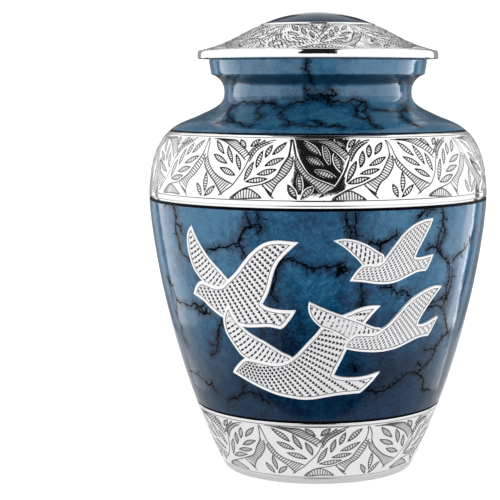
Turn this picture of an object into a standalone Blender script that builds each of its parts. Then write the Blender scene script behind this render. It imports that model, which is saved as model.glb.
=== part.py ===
"""A funeral urn: a hollow cast aluminium body with blue enamel, two engraved leaf bands and four
flying doves in low relief, and the lid that lifts off it.

Metres, +Z up. The origin is the centre of the foot, on the surface that the urn stands on. The doves
face -Y. A profile is a list of (radius, height) pairs; an angle on the urn is measured from -Y
towards +X, in degrees.
"""

from math import cos, hypot, pi, radians, sin

import bmesh
import bpy
import numpy as np
from mathutils import Vector
from mathutils.geometry import delaunay_2d_cdt

# Outline of the body, from the foot up: (radius, height)
FOOT_EDGE = (0.0502, 0.0)
FOOT_TOP = (0.0518, 0.0031)
BELLY = (0.0891, 0.1435)
SHOULDER = (0.0633, 0.1859)
WAIST = (0.0493, 0.1983)
COLLAR_BASE = (0.0561, 0.2075)
COLLAR_TOP = (0.0573, 0.2153)
FOOT_CHAMFER = 0.0005
COLLAR_ROUND = 0.0007

# Handles of the curves between those rings
BELLY_HANDLES = ((0.0819, 0.0649), (BELLY[0], 0.1337))
SHOULDER_HANDLES = ((BELLY[0], 0.1804), (0.0724, 0.1817))
NECK_HANDLES = ((0.0527, 0.1908), (WAIST[0], 0.1921))
COLLAR_HANDLES = ((WAIST[0], 0.2028), (0.0518, 0.2062))

# Walls, floor and the shallow recess under the foot
WALL = 0.0030
FLOOR = 0.0035
RECESS_DEPTH = 0.0020
RECESS_RADIUS = 0.0440
FLOOR_RADIUS = 0.0470

# Heights where bare metal meets enamel
LOWER_BAND_TOP = 0.0345
UPPER_BAND_TOP = 0.1783

# Outline of the lid, from its underside up
LID_GAP = 0.0003
LID_BOTTOM = COLLAR_TOP[1] + LID_GAP
RIM_RADIUS = 0.0632
RIM_TOP = (0.0611, 0.2193)
SLOPE_BOTTOM = (0.0604, 0.2195)
SLOPE_TOP = (0.0302, 0.2331)
SLOPE_HANDLES = ((0.0436, 0.2230), (0.0406, 0.2302))
BEAD_RADIUS = 0.0007
DOME_EDGE = (0.0289, 0.2338)
HEIGHT = 0.2400
LID_WALL = 0.0028
SPIGOT_CLEARANCE = 0.0004
SPIGOT_LENGTH = 0.0160
RIM_ROUND = 0.0006

# Facets: steps round the axis, and rows along each stretch of an outline
BODY_STEPS = 36
LID_STEPS = 32
LOWER_BAND_ROWS = 2
BELLY_ROWS = 5
UPPER_BAND_ROWS = 4
SHOULDER_ROWS = 3
NECK_ROWS = 4
COLLAR_ROWS = 3
INNER_HEIGHTS = (0.0140, 0.0330, 0.0600, 0.0900, 0.1200, BELLY[1], 0.1610, 0.1735, 0.1810, SHOULDER[1])
INNER_NECK_ROWS = 3
SLOPE_ROWS = 4
DOME_ROWS = 4
INNER_LID_ROWS = 2
SMOOTH_ROWS = 60
SLOPE_REACH = 0.0005

# One repeat of the leaf scroll, drawn in a box this wide and tall
REPEAT_WIDTH = 0.0490
REPEAT_HEIGHT = 0.0290

# Its sprays: where the lowest pair of leaflets meets, the way the spray points, the pairs and the
# step between them, the angle they spread by, and how far the lowest and the last leaflet reach
LARGE_SPRAY = {"root": (0.0243, 0.0068), "heading": 46.5, "pairs": 3, "step": 0.0070,
               "spread": 27.0, "lowest": 0.0125, "last": 0.0100}
SMALL_SPRAY = {"root": (0.0222, 0.0112), "heading": 134.0, "pairs": 2, "step": 0.0068,
               "spread": 24.0, "lowest": 0.0116, "last": 0.0116}
SPRIG = {"root": (0.0034, -0.0012), "headings": (128.0, 90.0, 45.0), "reaches": (0.0085, 0.0125, 0.0095)}
LEAFLET_START = 0.0024
LEAFLET_HALF_WIDTH = 0.0012
LEAFLET_WIDEST = 0.42
NICK_DEPTH = 0.0009
NICK_CAP = 0.0004
NICK_CREST = 0.0014

# Engraved leaf bands: the heights between their plain strips, the repeats round the urn, the angle of
# the first joint of the scroll, and what each repeat holds
UPPER_LEAVES = {"bottom": 0.1478, "top": 0.1765, "repeats": 11, "first": -7.8,
                "sprays": (LARGE_SPRAY, SMALL_SPRAY), "sprigs": True}
LOWER_LEAVES = {"bottom": 0.0045, "top": 0.0325, "repeats": 7, "first": -26.5,
                "sprays": (LARGE_SPRAY, SMALL_SPRAY), "sprigs": False}
LID_LEAVES = {"bottom": 0.2200, "top": 0.2326, "repeats": 6, "first": -30.0,
              "sprays": (LARGE_SPRAY,), "sprigs": False}

# The doves. "place" is the beak's angle and height; "tilt" turns the bird, beak to tail, from level.
# Wing points are in lengths of the bird, from its beak: the tip of the near wing, the tip of the far
# wing, and the two points that bow the front and the rear edge of the far wing.
DOVES = {
    "left": {"place": (-48.1, 0.0986), "length": 0.0591, "tilt": -4.4, "lift": 0.0007,
             "near_tip": (0.99, 0.57), "far_tip": (0.02, 0.60), "far_front": (-0.09, 0.38),
             "far_rear": (0.10, 0.44)},
    "centre": {"place": (-34.7, 0.0601), "length": 0.0758, "tilt": 1.0, "lift": 0.0010,
               "near_tip": (0.96, 0.45), "far_tip": (0.06, 0.48), "far_front": (-0.03, 0.36),
               "far_rear": (0.10, 0.35)},
    "right": {"place": (8.9, 0.0747), "length": 0.0531, "tilt": 13.5, "lift": 0.0013,
              "near_tip": (1.06, 0.30), "far_tip": (-0.18, 0.50), "far_front": (-0.25, 0.24),
              "far_rear": (-0.10, 0.38)},
    "upper": {"place": (10.3, 0.1081), "length": 0.0462, "tilt": 14.5, "lift": 0.0007,
              "near_tip": (1.05, 0.38), "far_tip": (-0.06, 0.46), "far_front": (0.07, 0.38),
              "far_rear": (0.08, 0.47)},
}
DOVE_ROOT = 0.0008
FAR_WING_DROP = 0.0003
OUTLINE_STEP = 0.0044
PLATE_STEP = 0.0100
PLATE_MARGIN = 0.0030

# Triangulation of a plate: keep only what lies inside its outline; points this near are one point
KEEP_INSIDE = 1
SAME_POINT = 1e-7

# Material slots of both pieces
BARE = 0
ENAMELLED = 1
SHARP_ANGLE = radians(28)

# Colours (linear RGB)
METAL_COLOUR = (0.78, 0.78, 0.80, 1.0)
ENAMEL_COLOUR = (0.025, 0.09, 0.22, 1.0)


def clear_scene():
    for old in list(bpy.data.objects):
        bpy.data.objects.remove(old, do_unlink=True)


def material(name, colour, roughness, metallic):
    made = bpy.data.materials.new(name)
    made.use_nodes = True
    shader = made.node_tree.nodes["Principled BSDF"]
    shader.inputs["Base Color"].default_value = colour
    shader.inputs["Roughness"].default_value = roughness
    shader.inputs["Metallic"].default_value = metallic
    made.diffuse_color = colour
    return made


def curve(start, first, second, end, rows):
    """Points along a cubic Bezier curve, its start left out."""
    points = []
    for row in range(1, rows + 1):
        t = row / rows
        u = 1.0 - t
        weights = (u ** 3, 3 * u * u * t, 3 * u * t * t, t ** 3)
        points.append(tuple(sum(w * p[axis] for w, p in zip(weights, (start, first, second, end)))
                            for axis in (0, 1)))
    return points


def lower_curve(rows):
    """From the foot out to the widest ring."""
    return curve(FOOT_TOP, *BELLY_HANDLES, BELLY, rows)


def upper_curve(rows):
    """From the widest ring over to the shoulder."""
    return curve(BELLY, *SHOULDER_HANDLES, SHOULDER, rows)


def neck_curve(rows):
    """From the shoulder in to the waist of the neck."""
    return curve(SHOULDER, *NECK_HANDLES, WAIST, rows)


def slope_curve(rows):
    """The lid's engraved slope, from the rim up to the bead."""
    return curve(SLOPE_BOTTOM, *SLOPE_HANDLES, SLOPE_TOP, rows)


def at_heights(points, heights):
    """The points of a rising outline at the given heights."""
    z = [point[1] for point in points]
    r = [point[0] for point in points]
    return [(float(np.interp(height, z, r)), float(height)) for height in heights]


def inset(points, depth):
    """An outline moved inwards by depth, square to itself."""
    moved = []
    last = len(points) - 1
    for index, (radius, height) in enumerate(points):
        before = points[max(index - 1, 0)]
        after = points[min(index + 1, last)]
        run = after[0] - before[0]
        rise = after[1] - before[1]
        length = hypot(run, rise)
        moved.append((radius - depth * rise / length, height + depth * run / length))
    return moved


BODY_SKIN = [FOOT_TOP] + lower_curve(SMOOTH_ROWS) + upper_curve(SMOOTH_ROWS)
LID_SKIN = [SLOPE_BOTTOM] + slope_curve(SMOOTH_ROWS)


def body_inside():
    """The body's inner outline, from the floor's centre up the wall and the straight neck to the lip."""
    floor = RECESS_DEPTH + FLOOR
    skin = at_heights(BODY_SKIN, INNER_HEIGHTS) + neck_curve(INNER_NECK_ROWS)
    wall = inset(skin, WALL)
    return [(0.0, floor), (FLOOR_RADIUS, floor)] + wall + [(WAIST[0] - WALL, COLLAR_TOP[1])]


def collar_and_neck():
    """Enamel, from the lip down to the upper band."""
    lip = [(COLLAR_TOP[0], COLLAR_TOP[1] - COLLAR_ROUND), (COLLAR_TOP[0] - COLLAR_ROUND, COLLAR_TOP[1])]
    collar = curve(WAIST, *COLLAR_HANDLES, COLLAR_BASE, COLLAR_ROWS)
    turn = at_heights(BODY_SKIN, np.linspace(UPPER_BAND_TOP, SHOULDER[1], SHOULDER_ROWS + 1))
    return list(reversed(turn + neck_curve(NECK_ROWS) + collar + lip))


def band(top, bottom, rows):
    """A stretch of the body's skin between two heights, from the top down."""
    return at_heights(BODY_SKIN, np.linspace(top, bottom, rows + 1))


def foot_and_underside():
    """The foot's edge, the flat ring that the urn stands on, and the recess inside it."""
    foot = [FOOT_TOP, (FOOT_EDGE[0], FOOT_CHAMFER), (FOOT_EDGE[0] - FOOT_CHAMFER, 0.0)]
    recess = [(RECESS_RADIUS, 0.0), (RECESS_RADIUS - RECESS_DEPTH / 2, RECESS_DEPTH), (0.0, RECESS_DEPTH)]
    return foot + recess


def dome_curve(rows):
    """The enamelled dome: an arc from its edge to the top of the lid, its start left out."""
    rise = HEIGHT - DOME_EDGE[1]
    ball = (DOME_EDGE[0] ** 2 + rise ** 2) / (2 * rise)
    points = []
    for row in range(1, rows + 1):
        radius = DOME_EDGE[0] * (1 - row / rows)
        points.append((radius, HEIGHT - ball + (ball ** 2 - radius ** 2) ** 0.5))
    return points


def lid_inside():
    """Under the lid: from the crown of the hollow down its wall and the spigot, and out under the rim."""
    spigot = WAIST[0] - WALL - SPIGOT_CLEARANCE
    bore = spigot - LID_WALL
    skin = inset([SLOPE_BOTTOM] + slope_curve(INNER_LID_ROWS) + dome_curve(INNER_LID_ROWS), LID_WALL)
    skin.reverse()
    crown = [(0.0, HEIGHT - LID_WALL)]
    hollow = crown + [point for point in skin if LID_WALL < point[0] < bore - RIM_ROUND]
    corner = float(np.interp(bore, [point[0] for point in skin], [point[1] for point in skin]))
    tip = LID_BOTTOM - SPIGOT_LENGTH
    return hollow + [(bore, corner), (bore, tip), (spigot - RIM_ROUND, tip),
                     (spigot, tip + RIM_ROUND), (spigot, LID_BOTTOM)]


def rim_and_slope():
    """The lid's outside, from under the rim up to the bead round the dome."""
    rim = [(RIM_RADIUS - RIM_ROUND, LID_BOTTOM), (RIM_RADIUS, LID_BOTTOM + RIM_ROUND),
           (RIM_RADIUS - RIM_ROUND, (LID_BOTTOM + RIM_TOP[1]) / 2), RIM_TOP, SLOPE_BOTTOM]
    bead = [(SLOPE_TOP[0] - BEAD_RADIUS * (1 - cos(turn)), SLOPE_TOP[1] + BEAD_RADIUS * sin(turn))
            for turn in (radians(60), radians(120))]
    return rim + slope_curve(SLOPE_ROWS) + bead + [DOME_EDGE]


def turned(name, stretches, steps, materials):
    """A solid of revolution. Its stretches are (points, material slot), and the outline that they
    make end to end starts and ends on the axis."""
    mesh = bmesh.new()
    rings = []
    for points, slot in stretches:
        for radius, height in points:
            if rings and (radius, height) == rings[-1][0]:
                rings[-1] = (rings[-1][0], rings[-1][1], slot)
                continue
            turns = [2 * pi * step / steps for step in range(steps)] if radius > 0.0 else [0.0]
            ring = [mesh.verts.new((radius * cos(turn), radius * sin(turn), height)) for turn in turns]
            rings.append(((radius, height), ring, slot))
    for (_, first, slot), (_, second, _) in zip(rings, rings[1:]):
        for step in range(steps):
            after = (step + 1) % steps
            corners = [first[step % len(first)], first[after % len(first)],
                       second[after % len(second)], second[step % len(second)]]
            face = mesh.faces.new(list(dict.fromkeys(corners)))
            face.material_index = slot
    bmesh.ops.recalc_face_normals(mesh, faces=mesh.faces)
    return as_object(name, mesh, materials)


def as_object(name, mesh, materials):
    data = bpy.data.meshes.new(name)
    mesh.to_mesh(data)
    mesh.free()
    made = bpy.data.objects.new(name, data)
    bpy.context.collection.objects.link(made)
    for one in materials:
        data.materials.append(one)
    return made


def skin_point(skin, angle, height, lift):
    """A point on a turned skin, lifted square to it."""
    heights = [point[1] for point in skin]
    radii = [point[0] for point in skin]
    radius, above, below = np.interp((height, height + SLOPE_REACH, height - SLOPE_REACH), heights, radii)
    slope = above - below
    length = hypot(slope, 2 * SLOPE_REACH)
    out = radius + lift * 2 * SLOPE_REACH / length
    turn = radians(angle)
    return Vector((out * sin(turn), -out * cos(turn), height - lift * slope / length))


def band_point(skin, band, repeat, x, y, lift):
    """A point of one repeat of the leaf scroll, laid on its band. y runs along the skin."""
    inside = [point for point in skin if band["bottom"] <= point[1] <= band["top"]]
    inside = at_heights(skin, [band["bottom"]]) + inside + at_heights(skin, [band["top"]])
    along = [0.0]
    for first, second in zip(inside, inside[1:]):
        along.append(along[-1] + hypot(second[0] - first[0], second[1] - first[1]))
    height = float(np.interp(y / REPEAT_HEIGHT * along[-1], along, [point[1] for point in inside]))
    turn = 360.0 / band["repeats"]
    return skin_point(skin, band["first"] + turn * (repeat + x / REPEAT_WIDTH), height, lift)


def towards(heading):
    return Vector((cos(radians(heading)), sin(radians(heading))))


def leaflet(joint, heading, reach):
    """One leaflet that springs from a joint, as (start, end)."""
    return joint + towards(heading) * LEAFLET_START, joint + towards(heading) * reach


def spray_leaflets(spray):
    """Pairs of leaflets up a spray, and one at its end."""
    leaflets = []
    for pair in range(spray["pairs"]):
        joint = Vector(spray["root"]) + towards(spray["heading"]) * spray["step"] * pair
        share = pair / spray["pairs"]
        reach = spray["lowest"] * (1 - share) + spray["last"] * share
        for side in (-1, 1):
            leaflets.append(leaflet(joint, spray["heading"] + side * spray["spread"], reach))
    stem = spray["step"] * spray["pairs"] - LEAFLET_START
    joint = Vector(spray["root"]) + towards(spray["heading"]) * stem
    leaflets.append(leaflet(joint, spray["heading"], spray["last"]))
    return leaflets


def sprig_leaflets():
    """The three leaflets that stand under each joint of the scroll."""
    return [leaflet(Vector(SPRIG["root"]), heading, reach)
            for heading, reach in zip(SPRIG["headings"], SPRIG["reaches"])]


def leaf_nicks(mesh, skin, band):
    """Adds a kite-shaped cutter for each leaflet of a band: four corners and a crest over the skin, and
    one point in it. The corners stand out so far that the nick has the leaflet's size at the skin."""
    stand_out = (NICK_DEPTH + NICK_CAP) / NICK_DEPTH
    leaflets = [one for spray in band["sprays"] for one in spray_leaflets(spray)]
    if band["sprigs"]:
        leaflets += sprig_leaflets()
    for repeat in range(band["repeats"]):
        for start, end in leaflets:
            middle = start.lerp(end, LEAFLET_WIDEST)
            across = (end - start).orthogonal().normalized() * LEAFLET_HALF_WIDTH
            corners = [middle + (spot - middle) * stand_out
                       for spot in (start, middle - across, end, middle + across)]
            cap = [mesh.verts.new(band_point(skin, band, repeat, *corner, NICK_CAP)) for corner in corners]
            crest = mesh.verts.new(band_point(skin, band, repeat, *middle, NICK_CREST))
            low = mesh.verts.new(band_point(skin, band, repeat, *middle, -NICK_DEPTH))
            for first, second in zip(cap, cap[1:] + cap[:1]):
                mesh.faces.new((first, second, crest))
                mesh.faces.new((second, first, low))


def nick_cutter(name, skin, bands):
    mesh = bmesh.new()
    for band in bands:
        leaf_nicks(mesh, skin, band)
    bmesh.ops.recalc_face_normals(mesh, faces=mesh.faces)
    return as_cutter(as_object(name, mesh, []))


def as_cutter(made):
    made.hide_render = True
    made.display_type = 'WIRE'
    return made


def combine(target, other, operation):
    """Target joined with, or cut by, other."""
    step = target.modifiers.new(operation.title() + " " + other.name, 'BOOLEAN')
    step.operation = operation
    step.solver = 'EXACT'
    step.object = other


def finish(made):
    """Applies the Booleans, removes their cutters and shades the result."""
    bpy.context.view_layer.update()
    result = bpy.data.meshes.new_from_object(made.evaluated_get(bpy.context.evaluated_depsgraph_get()))
    cutters = [step.object for step in made.modifiers]
    made.modifiers.clear()
    made.data = result
    result.name = made.name
    for cutter in cutters:
        bpy.data.objects.remove(cutter, do_unlink=True)
    result.shade_smooth()
    result.set_sharp_from_angle(angle=SHARP_ANGLE)


def dove_front(dove):
    """Head, body, near wing and tail, as edges of (start, handle, handle, end) in lengths of the bird."""
    beak, crown, nape = (0.0, 0.0), (0.17, 0.135), (0.34, 0.09)
    notch, tail_tip, tail_low, breast = (0.73, 0.01), (1.0, 0.0), (0.88, -0.15), (0.53, -0.165)
    tip = dove["near_tip"]
    return [
        (beak, (0.03, 0.10), (0.09, 0.145), crown),
        (crown, (0.24, 0.13), (0.27, 0.09), nape),
        (nape, (0.50, 0.07), (tip[0] - 0.38, tip[1] + 0.04), tip),
        (tip, (tip[0] - 0.13, tip[1] - 0.15), (notch[0] + 0.08, notch[1] + 0.10), notch),
        (notch, (0.80, -0.02), (0.90, -0.03), tail_tip),
        (tail_tip, (0.96, -0.06), (0.92, -0.11), tail_low),
        (tail_low, (0.76, -0.14), (0.65, -0.17), breast),
        (breast, (0.36, -0.155), (0.14, -0.08), beak),
    ]


def dove_far_wing(dove):
    """The wing behind the body, its root hidden under the back."""
    front, rear = (0.14, 0.12), (0.40, 0.13)
    hidden_front, hidden_rear = (0.20, 0.04), (0.40, 0.05)
    tip = dove["far_tip"]
    middle = (0.28, 0.04)
    return [
        (front, (0.10, 0.23), dove["far_front"], tip),
        (tip, dove["far_rear"], (0.26, 0.29), rear),
        (rear, rear, hidden_rear, hidden_rear),
        (hidden_rear, middle, middle, hidden_front),
        (hidden_front, hidden_front, front, front),
    ]


def dove_point(dove, spot):
    """A point of the bird, in lengths from its beak, as (arc, height) from the beak on the belly."""
    tilt = radians(dove["tilt"])
    x, y = spot[0] * dove["length"], spot[1] * dove["length"]
    return (x * cos(tilt) - y * sin(tilt), x * sin(tilt) + y * cos(tilt))


def outline(dove, edges):
    """The closed outline of one plate, as points about OUTLINE_STEP apart."""
    points = []
    for edge in edges:
        start, first, second, end = (dove_point(dove, spot) for spot in edge)
        rows = max(1, round(hypot(end[0] - start[0], end[1] - start[1]) / OUTLINE_STEP))
        points += curve(start, first, second, end, rows)
    return points


def clearance(spot, ring):
    """How far a point lies inside a closed outline; negative outside it."""
    inside = False
    nearest = 1.0
    for (ax, ay), (bx, by) in zip(ring, ring[1:] + ring[:1]):
        if (ay > spot[1]) != (by > spot[1]) and spot[0] < ax + (spot[1] - ay) / (by - ay) * (bx - ax):
            inside = not inside
        run, rise = bx - ax, by - ay
        share = ((spot[0] - ax) * run + (spot[1] - ay) * rise) / (run * run + rise * rise)
        share = min(1.0, max(0.0, share))
        nearest = min(nearest, hypot(spot[0] - ax - share * run, spot[1] - ay - share * rise))
    return nearest if inside else -nearest


def inner_spots(ring):
    """A grid of points inside an outline, so that a plate bends with the belly."""
    spots = []
    low_x, high_x = min(p[0] for p in ring), max(p[0] for p in ring)
    low_y, high_y = min(p[1] for p in ring), max(p[1] for p in ring)
    for x in np.arange(low_x, high_x, PLATE_STEP):
        for y in np.arange(low_y, high_y, PLATE_STEP):
            if clearance((x, y), ring) > PLATE_MARGIN:
                spots.append((float(x), float(y)))
    return spots


def dove_plate(name, dove, edges, lift, metal):
    """One plate of a dove: a sheet in the shape of its outline, bent to the belly."""
    ring = outline(dove, edges)
    spots = [Vector(spot) for spot in ring + inner_spots(ring)]
    border = [(index, (index + 1) % len(ring)) for index in range(len(ring))]
    flat, _, triangles, *_ = delaunay_2d_cdt(spots, border, [], KEEP_INSIDE, SAME_POINT)
    angle, height = dove["place"]
    radius = np.interp(height, [p[1] for p in BODY_SKIN], [p[0] for p in BODY_SKIN])
    mesh = bmesh.new()
    sheets = []
    for level in (lift, -DOVE_ROOT):
        sheets.append([mesh.verts.new(skin_point(BODY_SKIN, angle + float(np.degrees(spot.x / radius)),
                                                 height + spot.y, level)) for spot in flat])
    top, bottom = sheets
    sides = set()
    for triangle in triangles:
        mesh.faces.new([top[index] for index in triangle])
        mesh.faces.new([bottom[index] for index in reversed(triangle)])
        for first, second in zip(triangle, triangle[1:] + triangle[:1]):
            if (second, first) in sides:
                sides.remove((second, first))
            else:
                sides.add((first, second))
    for first, second in sides:
        mesh.faces.new((top[second], top[first], bottom[first], bottom[second]))
    bmesh.ops.recalc_face_normals(mesh, faces=mesh.faces)
    return as_cutter(as_object(name, mesh, [metal]))


def add_doves(body, metal):
    for name, dove in DOVES.items():
        wing = dove_plate("dove_" + name + "_far_wing", dove, dove_far_wing(dove),
                          dove["lift"] - FAR_WING_DROP, metal)
        front = dove_plate("dove_" + name + "_front", dove, dove_front(dove), dove["lift"], metal)
        combine(body, wing, 'UNION')
        combine(body, front, 'UNION')


def build_body(metal, enamel):
    body = turned("urn_body", [
        (body_inside(), BARE),
        (collar_and_neck(), ENAMELLED),
        (band(UPPER_BAND_TOP, BELLY[1], UPPER_BAND_ROWS), BARE),
        (band(BELLY[1], LOWER_BAND_TOP, BELLY_ROWS), ENAMELLED),
        (band(LOWER_BAND_TOP, FOOT_TOP[1], LOWER_BAND_ROWS), BARE),
        (foot_and_underside(), BARE),
    ], BODY_STEPS, [metal, enamel])
    add_doves(body, metal)
    combine(body, nick_cutter("body_leaf_nicks", BODY_SKIN, [UPPER_LEAVES, LOWER_LEAVES]), 'DIFFERENCE')
    finish(body)


def build_lid(metal, enamel):
    lid = turned("lid", [
        (lid_inside(), BARE),
        (rim_and_slope(), BARE),
        ([DOME_EDGE] + dome_curve(DOME_ROWS), ENAMELLED),
    ], LID_STEPS, [metal, enamel])
    combine(lid, nick_cutter("lid_leaf_nicks", LID_SKIN, [LID_LEAVES]), 'DIFFERENCE')
    finish(lid)


clear_scene()
polished_metal = material("polished_metal", METAL_COLOUR, 0.25, 1.0)
blue_enamel = material("blue_enamel", ENAMEL_COLOUR, 0.12, 0.0)
build_body(polished_metal, blue_enamel)
build_lid(polished_metal, blue_enamel)
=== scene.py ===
from math import cos, hypot, pi, radians, sin

import bpy
import numpy as np
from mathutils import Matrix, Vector


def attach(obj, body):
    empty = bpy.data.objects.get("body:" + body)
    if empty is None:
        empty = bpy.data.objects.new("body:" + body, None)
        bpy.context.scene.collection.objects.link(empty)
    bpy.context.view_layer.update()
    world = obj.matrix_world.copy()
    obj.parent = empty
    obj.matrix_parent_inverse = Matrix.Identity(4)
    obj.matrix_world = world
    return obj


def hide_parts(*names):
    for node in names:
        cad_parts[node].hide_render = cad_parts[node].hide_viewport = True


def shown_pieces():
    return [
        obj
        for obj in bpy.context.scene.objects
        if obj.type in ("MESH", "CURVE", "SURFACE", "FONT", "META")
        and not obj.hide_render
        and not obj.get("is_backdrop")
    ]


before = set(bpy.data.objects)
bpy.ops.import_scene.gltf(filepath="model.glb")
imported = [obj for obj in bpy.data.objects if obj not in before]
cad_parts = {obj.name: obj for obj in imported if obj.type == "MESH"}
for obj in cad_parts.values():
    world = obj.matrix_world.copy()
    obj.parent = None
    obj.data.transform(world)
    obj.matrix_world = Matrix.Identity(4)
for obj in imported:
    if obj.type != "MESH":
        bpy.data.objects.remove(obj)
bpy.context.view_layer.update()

# Lengths are millimetres until a mesh is made. An angle on the urn is in degrees from -Y towards +X,
# and a profile is an array of (radius, height) rows.

# The urn's outline and how many rows smooth each stretch of it
urnShape = {
    "footEdge": (50.2, 0.0), "footTop": (51.8, 3.1),
    "belly": (89.1, 143.5), "bellyHandles": ((81.9, 64.9), (89.1, 133.7)),
    "shoulder": (63.3, 185.9), "shoulderHandles": ((89.1, 180.4), (72.4, 181.7)),
    "waist": (49.3, 198.3), "neckHandles": ((52.7, 190.8), (49.3, 192.1)),
    "collarBase": (56.1, 207.5), "collarHandles": ((49.3, 202.8), (51.8, 206.2)),
    "collarTop": (57.3, 215.3), "collarRound": 0.7, "collarFacet": 0.2,
    "lowerBandTop": 34.6, "enamelTop": 143.9, "upperBandTop": 178.4, "rows": 120,
}

print("profiles")


def bezier(start, first, second, end, rows):
    # Cubic Bezier: u^3 a + 3 u^2 t b + 3 u t^2 c + t^3 d, with u = 1 - t
    t = np.linspace(0.0, 1.0, rows + 1)[:, None]
    u = 1.0 - t
    points = [np.asarray(one, dtype=float) for one in (start, first, second, end)]
    return u ** 3 * points[0] + 3 * u * u * t * points[1] + 3 * u * t * t * points[2] + t ** 3 * points[3]


def joined(*stretches):
    # Profiles end to end, each repeated corner kept once
    points = np.vstack([np.atleast_2d(np.asarray(one, dtype=float)) for one in stretches])
    keep = np.ones(len(points), dtype=bool)
    keep[1:] = np.linalg.norm(np.diff(points, axis=0), axis=1) > 1e-6
    return points[keep]


def bodyOutline():
    # Foot top to collar top; every stretch rises, so a height gives one radius
    shape, rows = urnShape, urnShape["rows"]
    radius, height = shape["collarTop"]
    roundness, facet = shape["collarRound"], shape["collarFacet"]
    return joined(
        bezier(shape["footTop"], *shape["bellyHandles"], shape["belly"], rows),
        bezier(shape["belly"], *shape["shoulderHandles"], shape["shoulder"], rows),
        bezier(shape["shoulder"], *shape["neckHandles"], shape["waist"], rows),
        bezier(shape["waist"], *shape["collarHandles"], shape["collarBase"], rows),
        (radius, height - roundness), (radius - facet, height - facet), (radius - roundness, height),
    )


def outlineData(profile):
    # Arc length along a profile, and its outward normal in the (radius, height) plane
    along = np.concatenate([[0.0], np.cumsum(np.linalg.norm(np.diff(profile, axis=0), axis=1))])
    slope = np.gradient(profile, along, axis=0)
    slope /= np.linalg.norm(slope, axis=1)[:, None]
    normal = np.column_stack([slope[:, 1], -slope[:, 0]])
    return along, normal


bodySkin = bodyOutline()
bodyAlong = outlineData(bodySkin)[0]


def skinAlong(height):
    # Arc length of the body's outline at a height
    return np.interp(height, bodySkin[:, 1], bodyAlong)


def atHeights(profile, heights):
    # Rows of a rising profile at given heights
    return np.column_stack([np.interp(heights, profile[:, 1], profile[:, 0]), heights])


def between(profile, low, high, step):
    # Rows of a rising profile from one height to another, evenly spaced along it
    part = profile[(profile[:, 1] > low) & (profile[:, 1] < high)]
    part = joined(atHeights(profile, [low]), part, atHeights(profile, [high]))
    along = outlineData(part)[0]
    count = max(2, int(round(along[-1] / step)) + 1)
    spots = np.linspace(0.0, along[-1], count)
    return np.column_stack([np.interp(spots, along, part[:, axis]) for axis in (0, 1)])


def lifted(profile, amount):
    # A profile moved outwards along its own normal
    return profile + outlineData(profile)[1] * amount


def onSkin(angle, along, lift, profile):
    # Point on a turned skin: profile at an arc length, plus lift along its normal, turned by an angle
    lengths, normal = outlineData(profile)
    radius = np.interp(along, lengths, profile[:, 0]) + lift * np.interp(along, lengths, normal[:, 0])
    height = np.interp(along, lengths, profile[:, 1]) + lift * np.interp(along, lengths, normal[:, 1])
    turn = np.radians(angle)
    return np.stack([radius * np.sin(turn), -radius * np.cos(turn), height + 0.0 * turn], axis=-1)


print("mesh helpers")


def meshFrom(name, points, faces, attributes, materials, sharp, wide=None):
    # Faces is an array of corner indices, four to a face; a repeated corner makes a triangle.
    # Wide holds faces with more corners, all with the same number
    same = faces == np.roll(faces, -1, axis=1)
    corners = faces[~same]
    sizes = 4 - same.sum(axis=1)
    if wide is not None and len(wide):
        corners = np.concatenate([corners, wide.ravel()])
        sizes = np.concatenate([sizes, np.full(len(wide), wide.shape[1])])
    starts = np.concatenate([[0], np.cumsum(sizes)[:-1]])
    mesh = bpy.data.meshes.new(name)
    mesh.vertices.add(len(points))
    mesh.vertices.foreach_set("co", (points * 0.001).astype(np.float32).ravel())
    mesh.loops.add(len(corners))
    mesh.loops.foreach_set("vertex_index", corners.astype(np.int32))
    mesh.polygons.add(len(sizes))
    mesh.polygons.foreach_set("loop_start", starts.astype(np.int32))
    mesh.update(calc_edges=True)
    for label, values in attributes.items():
        layer = mesh.attributes.new(label, 'FLOAT', 'POINT')
        layer.data.foreach_set("value", np.ascontiguousarray(values, dtype=np.float32).ravel())
    for one in materials:
        mesh.materials.append(one)
    mesh.shade_smooth()
    if sharp:
        mesh.set_sharp_from_angle(angle=radians(sharp))
    made = bpy.data.objects.new(name, mesh)
    bpy.context.scene.collection.objects.link(made)
    return made


def gridFaces(index, closedRows, closedColumns):
    # Quads between neighbouring rows and columns of an index array
    if closedRows:
        index = np.vstack([index, index[:1]])
    if closedColumns:
        index = np.hstack([index, index[:, :1]])
    low, high = index[:-1], index[1:]
    return np.stack([low[:, :-1], low[:, 1:], high[:, 1:], high[:, :-1]], axis=-1).reshape(-1, 4)


def turned(name, profile, columns, materials, sharp, attributes=None, slots=None):
    # Solid of revolution: a closed profile carried round the axis, its end rows on the axis
    angles = np.radians(np.linspace(0.0, 360.0, columns, endpoint=False))
    points, index = [], []
    total = 0
    for radius, height in profile:
        if radius < 1e-6:
            points.append(np.array([[0.0, 0.0, height]]))
            index.append(np.full(columns, total))
            total += 1
        else:
            points.append(np.column_stack([radius * np.sin(angles), -radius * np.cos(angles),
                                           np.full(columns, height)]))
            index.append(np.arange(total, total + columns))
            total += columns
    index = np.array(index)
    faces = gridFaces(index, False, True)
    values = {}
    for label, rows in (attributes or {}).items():
        values[label] = np.concatenate([np.full(len(ring), value) for ring, value in zip(points, rows)])
    made = meshFrom(name, np.vstack(points), faces, values, materials, sharp)
    if slots is not None:
        perFace = np.repeat(np.asarray(slots[:-1], dtype=np.int32), columns)
        made.data.polygons.foreach_set("material_index", perFace)
    return made


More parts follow.
